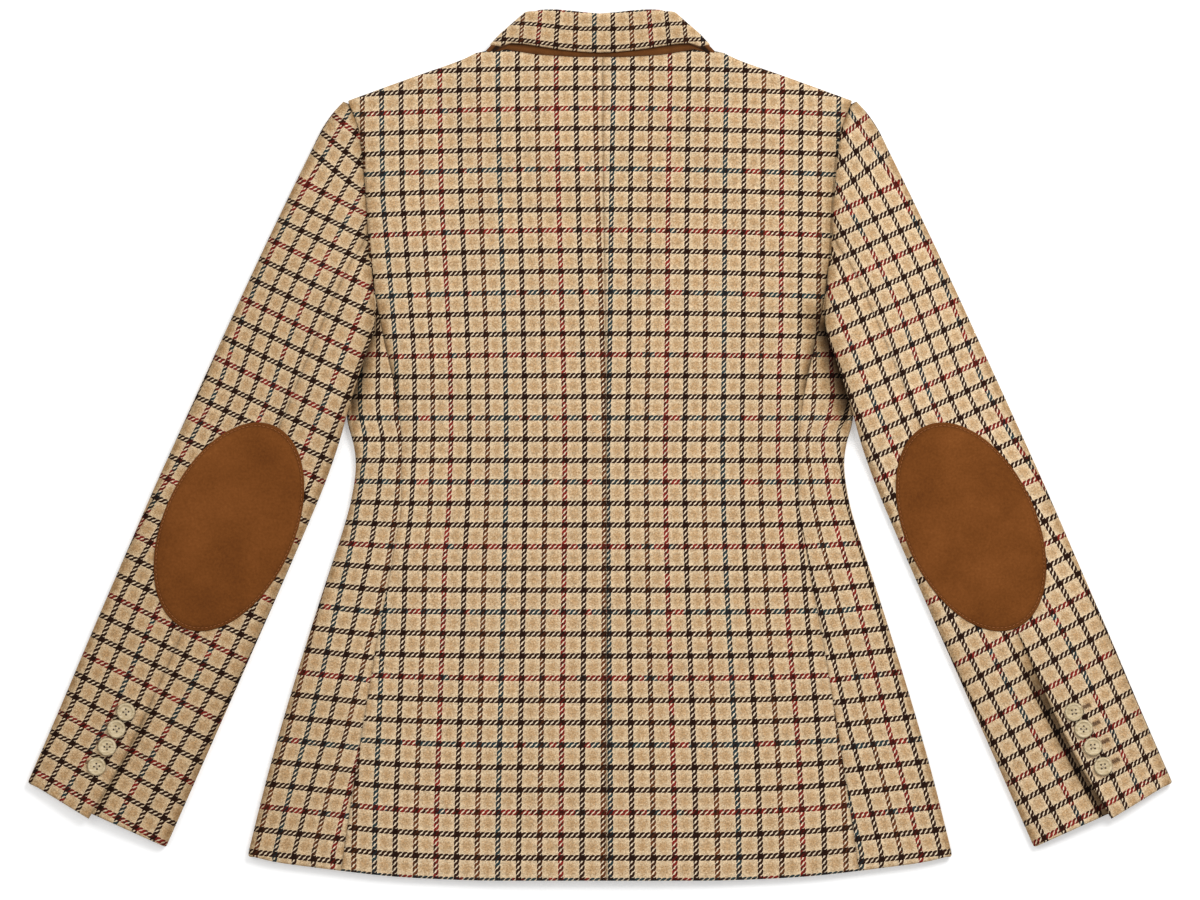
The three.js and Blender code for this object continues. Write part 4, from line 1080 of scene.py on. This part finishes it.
# How dark a line is from its middle out, and the tint of the painted shade in folds and beside edges.
LINE_WIDTH = [(0.0, grey(0.64)), (0.13, grey(0.76)), (0.26, grey(0.98)), (0.42, grey(0.94)),
              (0.52, grey(0.60)), (0.59, grey(0.0))]
PAINTED_SHADE_TINT = [(0.0, grey(1.0)), (0.25, (0.78, 0.74, 0.68, 1)), (0.5, (0.55, 0.49, 0.41, 1)),
             (1.0, (0.02, 0.008, 0.004, 1))]


def tweed(name, warp_stripes, weft_stripes, warp_swap, weft_swap):
    """2/2 twill: 4 dark yarns and 12 light ones a check, the light ones cream, tan, cream.
    A coloured line takes the colour of the one three lines on where a noise passes its swap."""
    n = Nodes(name)
    u, v = n.uv("grain")
    place = n.place()
    warp_up = (n.floor(u) - n.floor(v)) % TWILL < 1.999
    diagonal = u - v + (n.noise(place, 0.9, 2.0, 0.6) * 0.9 - 0.45)

    def line(run, along, colours, centre, seed, swap, turned=0.0):
        check = run / YARNS
        across = abs(n.fraction(check) * 8.0 - 1.0)
        off = abs(n.fraction((diagonal - (centre - TWILL / 2)) / TWILL) * 2.0 - 1.0)
        shown = n.clamp((n.ramp(across * 0.5, LINE_WIDTH, "EASE") - off) * 6.0) * (across < 1.2)
        number = n.floor(check)
        if turned:
            number = (number < turned) * 3.0 + number
        number = number % STRIPES
        at = number * (1 / STRIPES) + 0.02
        stripe = n.stripes(at, colours)
        if swap:
            swapping = n.noise(n.join(number * 5.3, along * 0.045, seed + 8), 1.0, 1.0)
            stripe = n.mix(swapping > swap, stripe, n.stripes(at, colours[3:] + colours[:3]))
        long_run = n.noise(n.join(number * 7.7, along * 0.11, seed), 1.0, 1.0)
        fleck = n.noise(n.join(n.floor(run) * 3.71, along * 0.3, seed + 3), 1.0, 2.0)
        darker = (long_run * 4.0 - 1.75) + (fleck * 4.5 - 2.1)
        return shown, across < 1.0, n.mix(n.clamp(darker, 0.08, 0.94), stripe, DARK)

    warp_shown, warp_line, warp = line(u, v, warp_stripes, WARP_CENTRE, 1.0, warp_swap)
    weft_shown, weft_line, weft = line(v, u, weft_stripes, WEFT_CENTRE, 12.0, weft_swap, TURNED)

    def middle(run):
        """1 in the tan square of the check, 0 by the lines."""
        away = abs(n.fraction(run / YARNS) - 0.625)
        return n.ramp(away, [(0.04, grey(1.0)), (0.35, grey(0.0))], "EASE")

    fluff = n.noise(place, 0.75, 3.0, 0.7) * 3.4 - 1.55
    toned = n.clamp((middle(u) + middle(v)) * 0.62 - 0.42 + fluff)
    ground = n.mix(toned, CREAM, TAN)
    spots = n.noise(place, 0.42, 3.0, 0.65) * 4.0 - 2.3
    ground = n.mix(n.clamp(spots, 0.0, 0.55), ground, HONEY)
    ground = n.mix(n.math("MAXIMUM", warp_line, weft_line), ground, GAP)
    crossing = warp_line * weft_line
    lines = n.mix(n.clamp(warp_shown - weft_shown), weft, warp)
    lines = n.mix(crossing, lines, n.mix(0.6, n.mix(warp_up, weft, warp), INK))
    shown = n.math("MAXIMUM", crossing, n.math("MAXIMUM", warp_shown, weft_shown))
    colour = n.mix(shown, ground, lines)

    round_u, round_v = (1.0 - abs(n.fraction(run) * 2.0 - 1.0) ** 2.0 for run in (u, v))
    crown = n.mix(warp_up, round_v, round_u)
    fine = n.noise(place, 1.3, 3.0, 0.75)
    speck = n.noise(place, 0.72, 2.0, 0.8)
    patchy = n.noise(place, 0.04, 3.0, 0.55)
    value = (fine * 0.62 + 0.69) + (speck * 1.7 - 0.85) + (patchy * 0.12 - 0.06)
    # The layer holds painted shade: the first number darkens seams and rolled edges, the second tints the
    # colour.
    edge_shade, shade = n.uv("painted_shade")
    # crown also lightens the middle of each yarn: a painted highlight on its round top.
    value = value * (edge_shade * -0.34 + 1.0) * (crown * 0.21 + 1.02)
    colour = n.mix(1.0, n.dim(colour, value), n.ramp(shade, PAINTED_SHADE_TINT), "MULTIPLY")
    n.bump(crown + fine * 0.8, 0.55, 0.3)
    return n.surface(colour, 0.95, 0.05, Sheen_Weight=0.01, Sheen_Roughness=0.6)


def felt_material():
    n = Nodes("felt")
    fuzz = n.noise(n.place(), 1.6, 5.0, 0.7)
    soft = n.noise(n.place(), 0.12, 3.0)
    felt_shade, _ = n.uv("grain")
    colour = n.ramp(fuzz * 0.7 + soft * 0.3,
                    [(0.25, srgb(70, 39, 15)), (0.5, srgb(98, 57, 23)), (0.75, srgb(122, 76, 35))])
    # The uv's first number darkens the felt: painted shade in the cavity and under the fall.
    colour = n.dim(colour, felt_shade * -0.86 + 1.0)
    n.bump(fuzz, 0.5, 0.3)
    return n.surface(colour, fuzz * 0.1 + 0.88, 0.1, Sheen_Weight=0.1)


def suede_material():
    n = Nodes("suede")
    edge_shade, _ = n.uv("painted_shade")
    cloudy = n.noise(n.place(), 0.03, 3.0, 0.5)
    nap = n.noise(n.place(), 0.5, 5.0, 0.65)
    grain = n.noise(n.place(), 3.0, 3.0, 0.6)
    colour = n.ramp(cloudy * 0.42 + nap * 0.40 + grain * 0.18,
                    [(0.30, srgb(88, 46, 15)), (0.47, srgb(109, 61, 22)), (0.60, srgb(122, 70, 29)),
                     (0.75, srgb(141, 87, 41))])
    # The layer's first number darkens the suede: painted shade in the stitched groove and at the rim.
    colour = n.dim(colour, edge_shade * -0.30 + 1.0)
    n.bump(nap * 0.8 + grain, 0.35, 0.25)
    return n.surface(colour, 0.9, 0.08, Sheen_Weight=0.04, Sheen_Roughness=0.5)


def thread_material(name, dark, light):
    n = Nodes(name)
    u, v = n.uv("grain")
    ply = n.math("SINE", u * 4.0 + v * 6.0)
    fuzz = n.noise(n.place(), 4.0, 2.0)
    n.bump(ply, 0.4, 0.08)
    # Light and dark along each strand: partly painted shade between the plies of its twist, partly random tone
    # from noise.
    return n.surface(n.mix(ply * 0.25 + 0.2 + fuzz * 0.5, dark, light), 0.6)


def horn_material():
    n = Nodes("horn")
    stretched = n.made(n.add("Mapping"), {"Scale": (0.25, 0.9, 1.0), "Vector": n.place()})
    streak = n.noise(stretched, 0.7, 4.0, 0.6)
    fine = n.noise(n.place(), 2.5, 3.0)
    colour = n.ramp(streak * 0.8 + fine * 0.2,
                    [(0.36, srgb(166, 144, 104)), (0.5, srgb(198, 178, 140)), (0.64, srgb(220, 202, 168))])
    x, y = n.uv("grain")
    # Painted shade in the groove inside the rim and at the outer edge.
    ring = n.ramp(n.math("SQRT", x * x + y * y) * 0.1,
                  [(0.40, grey(1.0)), (0.49, grey(0.96)), (0.56, grey(1.0)), (0.66, grey(1.0)),
                   (0.71, grey(0.74)), (0.75, grey(0.45))])
    n.bump(fine, 0.15, 0.05)
    return n.surface(n.mix(1.0, colour, ring, "MULTIPLY"), fine * 0.2 + 0.28,
                     Subsurface_Weight=0.08, Subsurface_Radius=(0.002, 0.0015, 0.001))


def hole_shade_material():
    n = Nodes("button_hole_shade")
    fine = n.noise(n.place(), 3.0, 2.0)
    # Dark discs that stand for the shade inside the button's holes: painted shade.
    return n.surface(n.mix(fine, srgb(40, 26, 16), srgb(74, 52, 32)), 0.7)


def floor_material():
    n = Nodes("floor")
    speck = n.noise(n.place(), 0.02, 3.0)
    return n.surface(n.mix(speck, grey(0.86), grey(0.90)), 0.9, 0.1, Emission_Color=grey(1.0),
                     Emission_Strength=0.28)


# -------- assembly
TWEED = tweed("tweed", BODY_WARP, BODY_WEFT, 0, 0.56)
SLEEVE_TWEED = tweed("sleeve_tweed", SLEEVE_WARP, SLEEVE_WEFT, 0.5, 0.5)
FELT_CLOTH, SUEDE = felt_material(), suede_material()
HORN, HOLE_SHADE = horn_material(), hole_shade_material()
BUTTON_THREAD = thread_material("button_thread", srgb(168, 146, 112), srgb(236, 222, 194))
PATCH_THREAD = thread_material("patch_thread", srgb(120, 62, 20), srgb(186, 112, 50))
HOLE_THREAD = thread_material("buttonhole_thread", srgb(84, 54, 32), srgb(140, 102, 66))


def own(obj, material, slot, *nodes):
    """Gives a piece its material, and the solids that it stands for; slot is not used."""
    obj.data.materials.append(material)
    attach(obj, "root")
    if nodes:
        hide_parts(*nodes)
    return obj


def floor_piece():
    mesh = bpy.data.meshes.new("floor")
    mesh.from_pydata([(-4, -4, 0), (4, -4, 0), (4, 4, 0), (-4, 4, 0)], [], [(0, 1, 2, 3)])
    obj = bpy.data.objects.new("floor", mesh)
    bpy.context.scene.collection.objects.link(obj)
    obj.data.materials.append(floor_material())
    obj.location.z = -0.0002
    return obj


def own_button(name, *size_and_place):
    horn, holes, thread = button(name, *size_and_place)
    own(horn, HORN, "button", name)
    own(holes, HOLE_SHADE, "button")
    own(thread, BUTTON_THREAD, "button")


def sleeve_buttons(side):
    """Four buttons that lie on the sleeve, each at its own slight tilt and turn."""
    for k, (along, across) in enumerate(zip(SLEEVE_BUTTONS["along"], SLEEVE_BUTTONS["across"])):
        under = across + np.array([-7.5, 0, 7.5])
        height = float(np.max(sleeve_top(along, under) + sleeve_relief(side, along, under))) + 0.3
        place = on_sleeve(side, along, across, height)
        tilt = (random.uniform(-0.03, 0.03), random.uniform(-0.03, 0.03))
        spin = side * LEAN + random.uniform(-0.35, 0.35)
        own_button(f"sleeve_button_{WORD[side]}_{k + 1}", place, 15, 3, tilt, spin)


# What makes each piece of cloth, its material and slot, its cut and area in metres, and what it rests on.
SHEETS = {
    "back": (back_panel, TWEED, "tweed", (0.210, 0.664), 0.117, ["front_{0}"]),
    "side": (side_panel, TWEED, "tweed", (0.160, 0.470), 0.058, ["floor"]),
    "front": (front_panel, TWEED, "tweed", (0.225, 0.664), 0.112, ["floor"]),
    "lapel": (lapel_panel, TWEED, "tweed", (0.062, 0.190), 0.0066, ["floor"]),
    "top_sleeve": (top_sleeve, SLEEVE_TWEED, "tweed", (0.160, 0.605), 0.083, ["floor", "side_{0}"]),
    "under_sleeve": (under_sleeve, SLEEVE_TWEED, "tweed", (0.095, 0.520), 0.041,
                     ["top_sleeve_{0}", "side_{0}"]),
    "elbow_patch": (elbow_patch, SUEDE, "suede", (0.1155, 0.1765), 0.0161,
                    ["top_sleeve_{0}", "under_sleeve_{0}"]),
}
made = {"floor": floor_piece()}
for side, word in WORD.items():
    for kind, (make, material, slot, *_) in SHEETS.items():
        made[f"{kind}_{word}"] = own(make(side), material, slot, f"{kind}_{word}")
    own(patch_stitches(side), PATCH_THREAD, "suede")
    own(buttonholes(side), HOLE_THREAD, "tweed")
    sleeve_buttons(side)
made["collar"] = own(collar(), TWEED, "tweed", "collar")
made["under_collar"] = own(felt(), FELT_CLOTH, "felt", "under_collar")
for k, y in enumerate(FRONT_BUTTON_Y):
    own_button(f"front_button_{k + 1}", np.array([0, y, 2.6]), 20, 2.6, (0, 0), 0.2, -1)


# -------- light and camera
def area_light(name, place, size, energy, colour=(1, 1, 1)):
    data = bpy.data.lights.new(name, "AREA")
    data.shape = "DISK"
    data.size = size
    data.energy = energy
    data.color = colour
    obj = bpy.data.objects.new(name, data)
    obj.location = place
    obj.rotation_euler = (-obj.location).to_track_quat("-Z", "Y").to_euler()
    bpy.context.scene.collection.objects.link(obj)


world = bpy.data.worlds.new("studio")
bpy.context.scene.world = world
world.use_nodes = True
world.node_tree.nodes["Background"].inputs[0].default_value = (1, 1, 1, 1)
world.node_tree.nodes["Background"].inputs[1].default_value = 0.56
area_light("key", (1.0, 1.25, 2.0), 1.2, 40)
area_light("fill", (-1.3, 0.9, 2.6), 1.8, 14)
bpy.context.scene.view_settings.view_transform = "Standard"

camera_data = bpy.data.cameras.new("camera")
camera_data.sensor_width = 36
camera_data.lens = 195
camera = bpy.data.objects.new("camera", camera_data)
camera.location = (0, -0.004, 5.2)
bpy.context.scene.collection.objects.link(camera)
bpy.context.scene.camera = camera
